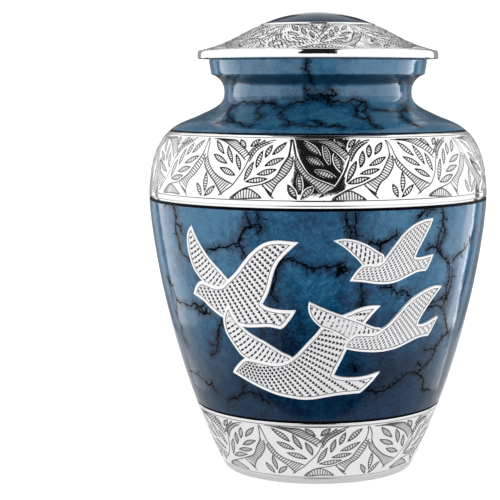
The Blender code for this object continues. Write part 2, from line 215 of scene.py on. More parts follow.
def sector(name, outer, inner, wrap, materials, sharp, attributes):
    # Closed plate: outer and inner are (rows, columns, 3) arrays that share their columns
    rows, columns = outer.shape[:2]
    points = np.concatenate([outer, inner[::-1]])
    count = len(points)
    index = np.arange(count * columns).reshape(count, columns)
    faces = gridFaces(index, True, wrap)
    if not wrap:
        faces = np.vstack([faces, capFan(index[:, 0], rows, True), capFan(index[:, -1], rows, False)])
    back = np.zeros((len(inner), columns))
    values = {label: np.concatenate([field, back]) for label, field in attributes.items()}
    return meshFrom(name, points.reshape(-1, 3), faces, values, materials, sharp)


def capFan(ring, outerRows, flip):
    # Closes a sector's end: each outer row joins the inner row at the same share of the height
    outer = ring[:outerRows]
    inner = ring[outerRows:][::-1]
    share = np.round(np.linspace(0, len(inner) - 1, outerRows)).astype(int)
    partner = inner[share]
    quads = np.stack([outer[:-1], outer[1:], partner[1:], partner[:-1]], axis=-1)
    return quads[:, ::-1] if flip else quads


def ringAngles(half, fineStep, coarseStep, fineHalf=None):
    # Column angles of a front and a back part: fine within fineHalf of the front, coarser elsewhere
    fineHalf = fineHalf or half
    fine = int(round(2 * fineHalf / fineStep))
    side = int(round((half - fineHalf) / coarseStep))
    coarse = int(round((360.0 - 2 * half) / coarseStep))
    front = np.linspace(-fineHalf, fineHalf, fine + 1)
    if side:
        ear = np.linspace(fineHalf, half, side + 1)[1:]
        front = np.concatenate([-ear[::-1], front, ear])
    back = np.linspace(half, 360.0 - half, coarse + 1)
    return front, back


print("materials")


class Field:
    # A value that varies over a surface; the usual signs add Math nodes to its tree
    def __init__(self, tree, socket):
        self.tree = tree
        self.socket = socket

    def combined(self, operation, other=0.0):
        node = self.tree.nodes.new("ShaderNodeMath")
        node.operation = operation
        linked(self, node.inputs[0])
        linked(other, node.inputs[1])
        return Field(self.tree, node.outputs[0])

    def __add__(self, other):
        return self.combined('ADD', other)

    def __sub__(self, other):
        return self.combined('SUBTRACT', other)

    def __mul__(self, other):
        return self.combined('MULTIPLY', other)

    def __abs__(self):
        return self.combined('ABSOLUTE')

    def larger(self, other):
        return self.combined('MAXIMUM', other)


def linked(value, socket):
    # A field is linked to the socket, and a plain value is set on it
    if isinstance(value, Field):
        value.tree.links.new(value.socket, socket)
    else:
        socket.default_value = value


def nodesOf(name):
    made = bpy.data.materials.new(name)
    made.use_nodes = True
    tree = made.node_tree
    return made, tree, tree.nodes["Principled BSDF"]


def ramp(value, low, high, start=0.0, end=1.0):
    # Smooth step of value from low to high, giving start to end
    node = value.tree.nodes.new("ShaderNodeMapRange")
    node.interpolation_type = 'SMOOTHSTEP'
    node.clamp = True
    for item, socket in zip((value, low, high, start, end), node.inputs):
        linked(item, socket)
    return Field(value.tree, node.outputs[0])


def mixed(tree, share, first, second):
    # Colours blended by a share, of which either may vary
    node = tree.nodes.new("ShaderNodeMix")
    node.data_type = 'RGBA'
    linked(share, node.inputs[0])
    linked(first, node.inputs[6])
    linked(second, node.inputs[7])
    return Field(tree, node.outputs[2])


def place(tree):
    return Field(tree, tree.nodes.new("ShaderNodeTexCoord").outputs["Object"])


def axes(where):
    node = where.tree.nodes.new("ShaderNodeSeparateXYZ")
    linked(where, node.inputs[0])
    return [Field(where.tree, socket) for socket in node.outputs]


def noiseNode(where, scale, detail, rough):
    node = where.tree.nodes.new("ShaderNodeTexNoise")
    linked(where, node.inputs["Vector"])
    node.inputs["Scale"].default_value = scale
    node.inputs["Detail"].default_value = detail
    node.inputs["Roughness"].default_value = rough
    return node


def noise(where, scale, detail=3.0, rough=0.55):
    return Field(where.tree, noiseNode(where, scale, detail, rough).outputs["Fac"])


def attribute(tree, name):
    node = tree.nodes.new("ShaderNodeAttribute")
    node.attribute_name = name
    return Field(tree, node.outputs["Fac"])


def bump(height, distance, strength):
    node = height.tree.nodes.new("ShaderNodeBump")
    node.inputs["Strength"].default_value = strength
    node.inputs["Distance"].default_value = distance
    linked(height, node.inputs["Height"])
    return Field(height.tree, node.outputs["Normal"])


def shifted(where, amount, scale):
    # A place moved by noise, to bend whatever is drawn with it: place + amount (noise - 1/2)
    moved = Field(where.tree, noiseNode(where, scale, 2.0, 0.5).outputs["Color"])
    for operation, other in (('SUBTRACT', (0.5, 0.5, 0.5)), ('SCALE', amount), ('ADD', where)):
        node = where.tree.nodes.new("ShaderNodeVectorMath")
        node.operation = operation
        linked(moved, node.inputs[0])
        linked(other, node.inputs["Scale" if operation == 'SCALE' else 1])
        moved = Field(where.tree, node.outputs[0])
    return moved


# Colours are linear RGB. A noise is (scale, detail, roughness), and a step is what ramp() takes
enamelLook = {
    "deep": (0.0006, 0.008, 0.026, 1.0), "blue": (0.0036, 0.066, 0.152, 1.0),
    "pale": (0.034, 0.150, 0.265, 1.0), "crackBlackAndCutShade": (0.0010, 0.0022, 0.0045, 1.0),
    "brown": (0.012, 0.014, 0.014, 1.0), "grain": (0.09, 0.13, 0.15, 1.0),
    "roughness": 0.09, "crackRoughness": 0.8, "ior": 1.42,
    "bend": (0.014, 40.0), "cloud": (26.0, 4.0, 0.6), "patch": (80.0, 4.0, 0.7),
    "fine": (560.0, 5.0, 0.8), "grit": (190.0, 5.0, 0.75),
    "cloudShare": 1.7, "patchShare": 1.7, "gritShare": 1.5, "fineShare": 1.5,
    "lift": (0.035, 0.15), "heightShadeShare": 0.5, "side": (0.012, 0.062), "paintedSideLightShare": 0.34,
    "blueStep": (2.0, 2.95), "paleStep": (2.75, 3.6, 0.0, 0.95), "grainStep": (0.50, 0.78, 0.0, 0.5),
    "footShadeStep": (0.0, 0.7, 0.72, 0.0), "shadeUnderCollarFoot": (0.2012, 0.2032), "shadeUnderCollarTop": (0.2062, 0.2082, 1.0, 0.0),
    "shadeUnderCollarShare": 0.8, "ripple": (60.0, 2.0), "rippleGrain": 0.05, "rippleDepth": (0.0006, 0.5),
}

# Distances from a crack are in millimetres
crackLook = {
    "ragged": (700.0, 3.0, 0.7), "slow": (150.0, 3.0, 0.6), "stray": 5.0, "halo": (-0.5, 4.6, 0.78, 0.0),
    "brownReach": (0.0, 2.2, 0.5, 0.0), "brownPatch": (0.02, 0.14),
    "paintedGlintReach": (0.3, 2.2, 0.5, 0.0), "paintedGlintPatch": (0.10, 0.20),
    "fray": 0.9, "coreStep": (0.42, 0.62), "edgeStep": (0.2, 0.5),
    "hairBend": (0.004, 260.0), "hairs": ((170.0, 0.065, 55.0), (320.0, 0.09, 90.0)),
    "hairPatch": (0.42, 0.6), "hairReach": (0.2, 3.0, 0.9, 0.0),
}


def enamelMaterial(name, shade, veins, shine, paintedLightLift=0.0):
    # Blue in slow clouds, lighter at the sides as painted light, darker towards the foot (partly its own
    # colour, partly painted shade), darker in a painted shade under the collar, and darker along the cracks,
    # which are black and ragged
    look = enamelLook
    made, tree, shader = nodesOf(name)
    where = place(tree)
    bent = shifted(where, *look["bend"])
    fine, grit = noise(where, *look["fine"]), noise(where, *look["grit"])
    x, _, height = axes(where)
    # Lighter upwards and darker towards the foot: partly the enamel's own colour, partly painted shade
    lift = ramp(height, *look["lift"])
    tone = noise(bent, *look["cloud"]) * look["cloudShare"] + noise(bent, *look["patch"]) * look["patchShare"]
    # The last term lightens the whole tone; on the neck it is painted light
    tone = tone + (grit - 0.5) * look["gritShare"] + paintedLightLift
    if veins:
        tone = tone + attribute(tree, "cloud")
    # The ramp on |x| paints light: the enamel is lighter towards the sides, where the side light falls
    tone = tone + lift * look["heightShadeShare"] + ramp(abs(x), *look["side"]) * look["paintedSideLightShare"]
    tone = tone + fine * look["fineShare"]
    base = mixed(tree, ramp(tone, *look["blueStep"]), look["deep"], look["blue"])
    base = mixed(tree, ramp(tone, *look["paleStep"]), base, look["pale"])
    base = mixed(tree, ramp(fine, *look["grainStep"]), base, look["grain"])
    # Darker near the foot: partly the enamel's own colour, partly painted shade
    base = mixed(tree, ramp(lift, *look["footShadeStep"]), base, look["deep"])
    base = mixed(tree, shade, base, look["deep"])
    # Painted shade: a darker band under the collar, where the neck turns down away from the light
    shadeUnderCollar = ramp(height, *look["shadeUnderCollarFoot"]) * ramp(height, *look["shadeUnderCollarTop"])
    base = mixed(tree, shadeUnderCollar * look["shadeUnderCollarShare"], base, look["deep"])
    if veins:
        base = cracked(base, where, grit, shader)
    else:
        shader.inputs["Roughness"].default_value = look["roughness"]
    linked(base, shader.inputs["Base Color"])
    shader.inputs["IOR"].default_value = look["ior"]
    shader.inputs["Specular IOR Level"].default_value = shine
    ripple = noise(where, *look["ripple"]) + fine * look["rippleGrain"]
    linked(bump(ripple, *look["rippleDepth"]), shader.inputs["Normal"])
    return made


def cracked(base, where, grit, shader):
    # Cracks drawn over a colour: a dark halo, hair cracks, brown stains, pale specks that are painted
    # highlights on the crack edges, and a black core
    look, colours, tree = crackLook, enamelLook, where.tree
    torn = noise(where, *look["ragged"]) - 0.5
    slow = noise(where, *look["slow"]) - 0.5
    reach = attribute(tree, "vein") + slow * look["stray"] + (grit - 0.5) * look["stray"]
    base = mixed(tree, ramp(reach, *look["halo"]), base, colours["deep"])
    crazed = crazing(where, reach)
    base = mixed(tree, crazed, base, colours["crackBlackAndCutShade"])
    brown = ramp(reach, *look["brownReach"]) * ramp(slow, *look["brownPatch"])
    # Pale specks along the cracks are painted highlights
    pale = ramp(reach, *look["paintedGlintReach"]) * ramp(torn, *look["paintedGlintPatch"])
    base = mixed(tree, pale, mixed(tree, brown, base, colours["brown"]), colours["pale"])
    core = attribute(tree, "crack") + torn * look["fray"]
    black = ramp(core, *look["coreStep"]).larger(ramp(attribute(tree, "edge"), *look["edgeStep"]))
    linked(black.larger(crazed), shader.inputs["Metallic"])
    linked(ramp(black, 0.0, 1.0, colours["roughness"], colours["crackRoughness"]), shader.inputs["Roughness"])
    return mixed(tree, black, base, colours["crackBlackAndCutShade"])


def crazing(where, reach):
    # Hair cracks: the edges of small cells, shown only near the drawn cracks and in patches
    look = crackLook
    bent = shifted(where, *look["hairBend"])
    made = None
    for scale, width, patchScale in look["hairs"]:
        cells = where.tree.nodes.new("ShaderNodeTexVoronoi")
        cells.feature = 'DISTANCE_TO_EDGE'
        cells.inputs["Scale"].default_value = scale
        linked(bent, cells.inputs["Vector"])
        line = ramp(Field(where.tree, cells.outputs["Distance"]), 0.0, width, 1.0, 0.0)
        patch = ramp(noise(where, patchScale, 2.0), *look["hairPatch"])
        one = line * patch * ramp(reach, *look["hairReach"])
        made = made.larger(one) if made else one
    return made


# The near-black metal colour is painted shade in the cuts; the enamel's black of the same name is the cracks'
# own colour
metalLook = {
    "bright": (0.92, 0.925, 0.935, 1.0), "engraved": (0.93, 0.93, 0.935, 1.0),
    "crackBlackAndCutShade": (0.004, 0.004, 0.005, 1.0), "cutShadeStep": (0.15, 0.65), "paintedSideLightSpan": (0.045, 0.082), "cutShadeGloss": 0.4,
    "smear": (90.0, 3.0, 0.6), "smearGloss": 0.05, "speck": (900.0, 2.0, 0.6), "speckShare": 0.10,
    "depth": (0.0003, 0.35),
}

# Strokes are given in radians of their wave for each millimetre across and along the surface
hatchLook = {
    "heading": (90.0, 1.0), "turns": 20.0, "across": 3.4, "along": 1.7, "broken": (360.0, 1.0),
    "brokenStep": (0.43, 0.51), "patch": (130.0, 2.0), "patchStep": (0.40, 0.52, 0.6, 1.0),
    "waveStep": (0.1, 0.6, 0.0, 0.85),
}


def reliefMaterial(name, engravedColour, engravedRoughness, brightRoughness, metallic=1.0, hatched=False,
                   darkest=0.98, paintedSideLight=0.0):
    # Polished metal where nothing is cut, matt where it is, and dark in the cuts as painted shade
    look = metalLook
    made, tree, shader = nodesOf(name)
    where = place(tree)
    cut, crackBlackAndCutShade = attribute(tree, "engraved"), attribute(tree, "crackBlackAndCutShade")
    smear = noise(where, *look["smear"])
    if hatched:
        crackBlackAndCutShade = crackBlackAndCutShade.larger(hatching(where))
    cover = ramp(crackBlackAndCutShade, *look["cutShadeStep"], 0.0, darkest)
    # Painted light: the cut shade is lighter towards the sides, where the light falls
    if paintedSideLight > 0.0:
        cover = cover * ramp(abs(axes(where)[0]), *look["paintedSideLightSpan"], 1.0, 1.0 - paintedSideLight)
    colour = mixed(tree, cut, look["bright"], engravedColour)
    linked(mixed(tree, cover, colour, look["crackBlackAndCutShade"]), shader.inputs["Base Color"])
    shader.inputs["Metallic"].default_value = metallic
    gloss = ramp(cut, 0.0, 1.0, brightRoughness, engravedRoughness)
    linked(gloss + smear * look["smearGloss"] + crackBlackAndCutShade * look["cutShadeGloss"], shader.inputs["Roughness"])
    surface = smear + noise(where, *look["speck"]) * look["speckShare"]
    linked(bump(surface, *look["depth"]), shader.inputs["Normal"])
    return made


def hatching(where):
    # Fine strokes of painted cut shade whose heading wanders over the surface: sine of the arc length plus
    # large slow noise
    look, tree = hatchLook, where.tree
    first = attribute(tree, "across") * look["across"] + attribute(tree, "along") * look["along"]
    wave = (first + noise(where, *look["heading"]) * look["turns"]).combined('SINE')
    broken = ramp(noise(where, *look["broken"]), *look["brokenStep"])
    patch = ramp(noise(where, *look["patch"]), *look["patchStep"])
    return ramp(wave, *look["waveStep"]) * broken * patch


castLook = {
    "colour": (0.45, 0.455, 0.47, 1.0), "stain": (0.30, 0.305, 0.32, 1.0), "grain": (1400.0, 4.0, 0.65),
    "stainSize": (60.0, 3.0), "stainStep": (0.3, 0.7, 0.0, 0.5), "gloss": (0.2, 0.8, 0.38, 0.6),
    "depth": (0.0004, 0.5),
}


def castMaterial(name):
    # Unpolished casting: a fine grain and slow stains
    look = castLook
    made, tree, shader = nodesOf(name)
    where = place(tree)
    grain = noise(where, *look["grain"])
    stained = ramp(noise(where, *look["stainSize"]), *look["stainStep"])
    linked(mixed(tree, stained, look["colour"], look["stain"]), shader.inputs["Base Color"])
    shader.inputs["Metallic"].default_value = 1.0
    linked(ramp(grain, *look["gloss"]), shader.inputs["Roughness"])
    linked(bump(grain, *look["depth"]), shader.inputs["Normal"])
    return made


# Enamel: darkening, whether it is cracked, shine and a lightening that is painted light. Metal: the engraved
# colour, then the roughness where it is engraved and where it is bright
bellyEnamel = enamelMaterial("belly_enamel_finish", 0.0, True, 0.30)
# The neck's enamel is the belly's made lighter: painted light
neckEnamel = enamelMaterial("neck_enamel_finish", 0.0, True, 0.30, 0.22)
domeEnamel = enamelMaterial("dome_enamel_finish", 0.75, False, 0.09)
# The upper band's cut shade is painted lighter at the sides
upperMetal = reliefMaterial("upper_band_metal", metalLook["engraved"], 0.35, 0.03, paintedSideLight=0.4)
lowerMetal = reliefMaterial("lower_band_metal", (0.86, 0.86, 0.865, 1.0), 0.4, 0.10, darkest=0.80)
doveMetal = reliefMaterial("dove_metal", (0.80, 0.795, 0.81, 1.0), 0.5, 0.32, metallic=0.25)
slopeMetal = reliefMaterial("lid_slope_metal", (1.0, 1.0, 1.0, 1.0), 0.36, 0.2, hatched=True, darkest=0.94)
brightMetal = reliefMaterial("polished_metal", (0.66, 0.66, 0.665, 1.0), 0.28, 0.05)
castMetal = castMaterial("cast_metal")

print("vessel")

# The foot's neck is (radius, height); its bevel, and the recess's, are (out, up) from their own edges
vesselValues = {
    "wall": 3.0, "floor": 3.5, "floorRadius": 47.0, "floorRound": 2.5, "floorLean": 2.0,
    "plateRadii": (30.0, 15.0, 0.0), "sharp": 30.0,
    "recess": 2.0, "recessRadius": 44.0, "recessBevel": ((0.3, 0.0), (0.0, 0.2)), "recessTaper": 1.0,
    "footFrom": 4.1, "footNeck": ((51.95, 3.75), (51.65, 3.4)),
    "footBevel": ((0.15, 0.7), (0.0, 0.35), (-0.35, 0.0)), "lipBevel": 0.4,
    "bed": 0.9, "skinFrom": 4.2, "rowStep": 2.2, "neckFrom": 186.5, "neckStep": 1.5, "columns": 220,
    "innerHeights": (14.0, 24.0, 33.0, 46.0, 60.0, 75.0, 90.0, 105.0, 120.0, 132.0, 143.5, 152.0, 161.0,
                     168.0, 173.5, 178.0, 181.0, 183.6, 185.9),
}


def buildVessel():
    # Floor, inside of the wall, lip, outside sunk by the thickness of its skins, foot and underside
    value, shape = vesselValues, urnShape
    floorHeight, floorRadius = value["recess"] + value["floor"], value["floorRadius"]
    floorRadii = value["plateRadii"][::-1] + (floorRadius - value["floorRound"],)
    floor = [(radius, floorHeight) for radius in floorRadii]
    neck = between(bodySkin, value["neckFrom"], shape["waist"][1], value["neckStep"])
    inside = lifted(joined(atHeights(bodySkin, value["innerHeights"]), neck), -value["wall"])
    corner = bezier(floor[-1], (floorRadius, floorHeight),
                    (floorRadius + value["floorLean"], floorHeight + value["floorRound"]), inside[0], 5)
    inside = joined(floor, corner, inside)
    topRadius, top = shape["collarTop"]
    bore, bevel = shape["waist"][0] - value["wall"], value["lipBevel"]
    lip = [(bore, top - bevel), (bore + bevel, top), (topRadius - shape["collarRound"] - value["bed"], top)]
    outside = between(bodySkin, value["skinFrom"], top - shape["collarRound"], value["rowStep"])
    outside = lifted(outside, -value["bed"])[::-1]
    foot = joined(atHeights(bodySkin, [value["footFrom"]]), value["footNeck"], shape["footTop"],
                  [(shape["footEdge"][0] + out, up) for out, up in value["footBevel"]])
    under = [(value["recessRadius"] + out, up) for out, up in value["recessBevel"]]
    flat = (value["recessRadius"] - value["recessTaper"],) + value["plateRadii"]
    under += [(radius, value["recess"]) for radius in flat]
    profile = joined(inside, lip, outside, foot, under)
    slots = np.zeros(len(profile), dtype=int)
    slots[:len(inside)] = 1
    slots[1 - len(under):] = 1
    matt = np.zeros(len(profile))
    matt[-len(under) - len(foot):] = 1.0
    made = turned("urn_vessel", profile, value["columns"], [brightMetal, castMetal], value["sharp"],
                  {"crackBlackAndCutShade": 0.0 * matt, "engraved": matt}, slots)
    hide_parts("urn_body")
    return made


vessel = buildVessel()

print("enamel")

# Cracks drawn on the belly as runs of (angle, height)
bellyCracks = [
    [(-53, 142), (-53, 135), (-53, 127), (-52.5, 120), (-49, 117), (-46, 115), (-45, 108.5)],
    [(-53, 141), (-60, 141)],
    [(-53, 133.5), (-51, 132.5), (-50, 129)],
    [(-39, 122), (-35.5, 122), (-32, 124), (-29, 125), (-26, 127), (-25, 130), (-24, 132.7), (-21.5, 135),
     (-18.5, 136), (-18, 133.5), (-19, 130.6)],
    [(-22.8, 141), (-21.2, 135.6)],
    [(-19.5, 142), (-18.5, 136)],
    [(-26, 127), (-25, 123.5), (-23.8, 120)],
    [(-12, 118.5), (-9, 119.3), (-7, 118.5), (-4.5, 116.4), (-1.5, 115), (2, 116.5), (4.5, 115.6), (6.5, 117),
     (8.8, 118.5)],
    [(6, 114.5), (7.5, 115.5), (9.2, 114.4), (7.8, 113), (5.5, 113)],
    [(-12, 118.5), (-13.5, 112.7), (-14.8, 107), (-16, 102), (-13.5, 98)],
    [(-67.5, 104), (-65, 102), (-62.5, 97), (-61.5, 93), (-57, 93), (-52, 91.4), (-48, 93.5), (-46, 92),
     (-43, 95)],
    [(-48, 93.5), (-47, 90), (-44, 88.5), (-41, 90)],
    [(-46, 92), (-44.5, 89.5), (-42, 92.5)],
    [(-62.5, 93), (-64, 88), (-65, 83), (-64.5, 75), (-63, 70)],
    [(-35.5, 86.4), (-38, 82.7), (-39.5, 78.5), (-41, 72.7), (-43, 68), (-45.5, 67)],
    [(-41, 72.7), (-43.5, 73)],
    [(-68, 54), (-61.5, 54), (-57, 52.7), (-53, 50), (-49.5, 52), (-48, 47)],
    [(-42, 43), (-38.5, 45), (-35, 47), (-32, 48.5), (-30.5, 53.5)],
    [(-32, 48.5), (-25.5, 49), (-20.5, 45)],
    [(8.8, 142), (9.2, 136), (10, 131), (10.5, 127)],
    [(11.5, 142), (11.2, 135), (11.8, 129)],
    [(16, 128), (18, 126.4), (20, 126), (23, 128), (26, 130)],
    [(20, 126), (20, 122)],
    [(33, 138), (34, 140), (36, 142), (40, 142)],
    [(43, 142), (44, 137), (44.2, 133.5), (42.5, 128.5), (42, 124), (43, 121), (45.5, 118), (48, 116),
     (50, 113.5), (50.5, 109), (51, 104), (50.5, 99), (50.5, 94), (51, 89), (53.5, 85), (56, 80), (58.5, 77)],
    [(44.2, 135), (45.3, 130), (44.2, 125.5), (43, 121)],
    [(51.5, 112), (52.4, 107), (52.2, 101), (51.2, 95)],
    [(51, 114), (53.5, 117), (56, 119), (59.5, 120.6), (62, 123.5), (63, 126)],
    [(38, 122), (40, 124), (43, 121)],
    [(41, 94), (44.5, 95), (48, 96), (50.5, 98)],
    [(41, 92), (45, 92.7), (50, 90)],
    [(22, 106), (25, 105), (27.5, 101), (30, 102.7), (32, 99.3)],
    [(14.5, 107), (15.2, 102.7), (15, 99), (14.5, 96)],
    [(44, 70.6), (48, 70), (51, 69.3), (53.5, 73.5), (56, 75.6), (58.5, 76.8)],
    [(51, 69), (51, 66), (48, 62), (45, 60), (43, 57.7), (39.5, 59), (36, 58), (33, 55), (30.5, 52),
     (28, 50.6), (24, 51), (20, 52)],
    [(43, 57.7), (47, 55), (49, 50), (51, 47), (57, 46)],
    [(13, 66), (14.5, 63.5)],
    [(42, 64), (44.5, 62)],
]

# Cracks drawn on the neck, the shoulder and the collar
neckCracks = [
    [(-5.5, 215), (-6, 212), (-6.5, 209.5), (-4.5, 208), (-4, 205), (-3, 202.5)],
    [(-52, 188.5), (-57, 192), (-49, 194), (-41, 194), (-33.5, 194), (-25.5, 193),
     (-20, 191.5), (-17.5, 190)],
    [(-17.5, 190), (-16.5, 192), (-12, 194), (-7, 195), (-0.5, 196), (4.5, 195.5), (6.5, 193)],
    [(-7.5, 200.5), (-6.5, 197.5), (-1.5, 197), (3.5, 197), (7.5, 197), (10.5, 197)],
    [(6.5, 200.5), (8.5, 199.5), (10, 198), (10.5, 197)],
    [(-17.5, 190), (-19, 188.5), (-17, 187), (-13.5, 185), (-10.5, 183.5), (-12.5, 182.5)],
    [(-10.5, 183.5), (-7.5, 183.5), (-3.5, 182.5), (0, 182.5), (2, 183.5)],
    [(-52, 188.5), (-46, 186.5), (-37.5, 184), (-34.5, 184), (-29.5, 182), (-26.5, 182), (-26, 183)],
    [(-46.5, 183), (-44, 184.5), (-37.5, 184)],
    [(-33.5, 194), (-34, 190.5), (-28, 188), (-27, 185)],
    [(6, 195.5), (11.5, 194.5), (18, 194), (25, 194), (28.5, 193.5)],
    [(28.5, 193.5), (28, 192), (24.5, 189.5), (22, 188.5), (20.5, 189.5), (20, 190.5), (23.5, 192),
     (28.5, 193.5)],
    [(24.5, 189.5), (23.5, 188), (23, 186.5), (23.5, 185.5), (22, 183.5), (23.5, 182)],
    [(20, 190.5), (19, 188), (19, 186), (20.5, 185.5), (23.5, 185.5)],
    [(28.5, 189.5), (35.5, 189.5), (42.5, 189), (45.5, 188.5), (43, 186.5), (42, 185), (41.5, 183.5),
     (43.5, 182)],
    [(45.5, 188.5), (54, 190), (60, 191.5)],
    [(-1.5, 185), (1, 184), (0, 182.5), (3, 182), (6, 182.5), (8, 183), (10, 181.5)],
]

# What both rings of enamel share. A cloud is (angle, height, size, amount); a swell of a crack's width is
# (amount, turns across, turns along)
crackValues = {
    "thick": 0.8, "grooveDepth": 0.25, "grooveReach": 1.35, "innerRows": 14, "sway": 0.13, "swaySlack": 0.8,
    "crackHalf": 0.31, "twigHalf": 0.26, "twigInk": 0.85, "reach": 9.0, "twigReach": 2.0, "snap": 0.45,
    "twigSnap": 0.4, "twigClear": 0.8, "swell": ((0.45, 0.31, 0.23), (0.35, 0.83, -0.71)), "sharp": 40.0,
    "walkSteps": (6, 15), "walkBend": 0.55, "walkLength": (3.0, 6.0), "walkSquash": 1.5, "walkMargin": 4.0,
    "twigPieces": 3, "twigTurn": (0.6, 1.5), "twigBend": 0.5, "twigLength": (0.5, 1.7),
}
bellyValues = {
    "low": urnShape["lowerBandTop"], "high": urnShape["enamelTop"], "topEdge": True,
    "fineHalf": 72.0, "fineStep": 0.42, "coarseStep": 1.1, "rowStep": 0.66, "edge": 1.45, "twigs": 0.5,
    "backCracks": 22, "seed": 11,
    "clouds": ((22.0, 137.0, 13.0, 0.40), (-5.0, 136.0, 15.0, -0.25), (52.0, 125.0, 15.0, 0.30),
               (-44.0, 128.0, 14.0, 0.15), (-33.0, 138.0, 9.0, 0.08), (-55.0, 80.0, 17.0, 0.45),
               (58.0, 68.0, 18.0, 0.50), (-11.0, 76.0, 14.0, -0.35), (30.0, 110.0, 12.0, 0.15)),
}
neckValues = {
    "low": urnShape["upperBandTop"], "high": urnShape["collarTop"][1] - 0.01, "topEdge": False,
    "fineHalf": 90.0, "fineStep": 0.75, "coarseStep": 1.5, "rowStep": 0.6, "edge": 1.1, "twigs": 0.22,
    "backCracks": 9, "seed": 5,
    "clouds": ((0.0, 210.0, 12.0, 0.25), (-40.0, 188.0, 12.0, 0.20), (38.0, 188.0, 14.0, 0.35)),
}


def walked(heading, length, squash=1.0):
    # Places reached by steps of a length and a heading, from the origin
    steps = np.column_stack([np.cos(heading) / squash, np.sin(heading)]) * length[:, None]
    return np.cumsum(steps, axis=0)


def wanderingCracks(count, seed, low, high, around):
    # Seeded random walks for the side that the photo hides
    value, rng = crackValues, np.random.default_rng(seed)
    made = []
    for _ in range(count):
        steps = int(rng.integers(*value["walkSteps"]))
        heading = rng.uniform(0.0, 2 * pi) + np.cumsum(rng.normal(0.0, value["walkBend"], steps))
        length = rng.uniform(*value["walkLength"], steps)
        start = np.array([rng.uniform(*around), rng.uniform(low, high)])
        path = start + walked(heading, length, value["walkSquash"])
        inside = (path > (around[0], low)).all(axis=1) & (path < (around[1], high)).all(axis=1)
        if inside.sum() > 3:
            made.append(path[inside])
    return made


def ragged(run, rng):
    # Midpoints pushed sideways twice over, by a share of each piece's length
    p = np.asarray(run, dtype=float)
    for share in (crackValues["sway"], crackValues["sway"] * crackValues["swaySlack"]):
        step = np.diff(p, axis=0)
        side = np.column_stack([-step[:, 1], step[:, 0]]) * rng.normal(0.0, share, len(step))[:, None]
        middle = (p[:-1] + p[1:]) * 0.5 + side
        woven = np.empty((len(p) * 2 - 1, 2))
        woven[0::2], woven[1::2] = p, middle
        p = woven
    return p


def twigs(run, rng, chance):
    # Short side cracks that leave a ragged run at random points
    value, made = crackValues, []
    for spot, way in zip(run[1:-1], np.diff(run, axis=0)[1:]):
        if rng.random() < chance:
            turn = rng.choice([-1.0, 1.0]) * rng.uniform(*value["twigTurn"])
            bend = np.cumsum(rng.normal(0.0, value["twigBend"], value["twigPieces"]))
            length = rng.uniform(*value["twigLength"], value["twigPieces"])
            heading = np.arctan2(way[1], way[0]) + turn + bend
            made.append(np.vstack([spot[None], spot + walked(heading, length)]))
    return made


def towards(x, y, start, end):
    # Distance to a segment, and the nearest point on it
    (ax, ay), (bx, by) = start, end
    square = (bx - ax) ** 2 + (by - ay) ** 2 + 1e-12
    share = np.clip(((x - ax) * (bx - ax) + (y - ay) * (by - ay)) / square, 0.0, 1.0)
    px, py = ax + share * (bx - ax), ay + share * (by - ay)
    return np.hypot(x - px, y - py), px, py


def keepNearer(best, block, found):
    # Best and found are (distance, x, y) arrays
    better = found[0] < best[0][block]
    for field, new in zip(best, found):
        field[block] = np.where(better, new, field[block])


def blockAround(x, y, low, high):
    # The part of a grid between two corners; its rows share x and its columns share y
    first, last = np.searchsorted(x[0], (low[0], high[0]))
    bottom, top = np.searchsorted(y[:, 0], (low[1], high[1]))
    return (slice(bottom, top), slice(first, last)) if first < last and bottom < top else None


def nearestOnRuns(x, y, runs, reach):
    # Distance from grid points to the nearest run of segments, up to a reach, and the nearest point itself
    best = [np.full(x.shape, reach), x.copy(), y.copy()]
    for run in runs:
        for start, end in zip(run[:-1], run[1:]):
            block = blockAround(x, y, np.minimum(start, end) - reach, np.maximum(start, end) + reach)
            if block:
                keepNearer(best, block, towards(x[block], y[block], start, end))
    return best


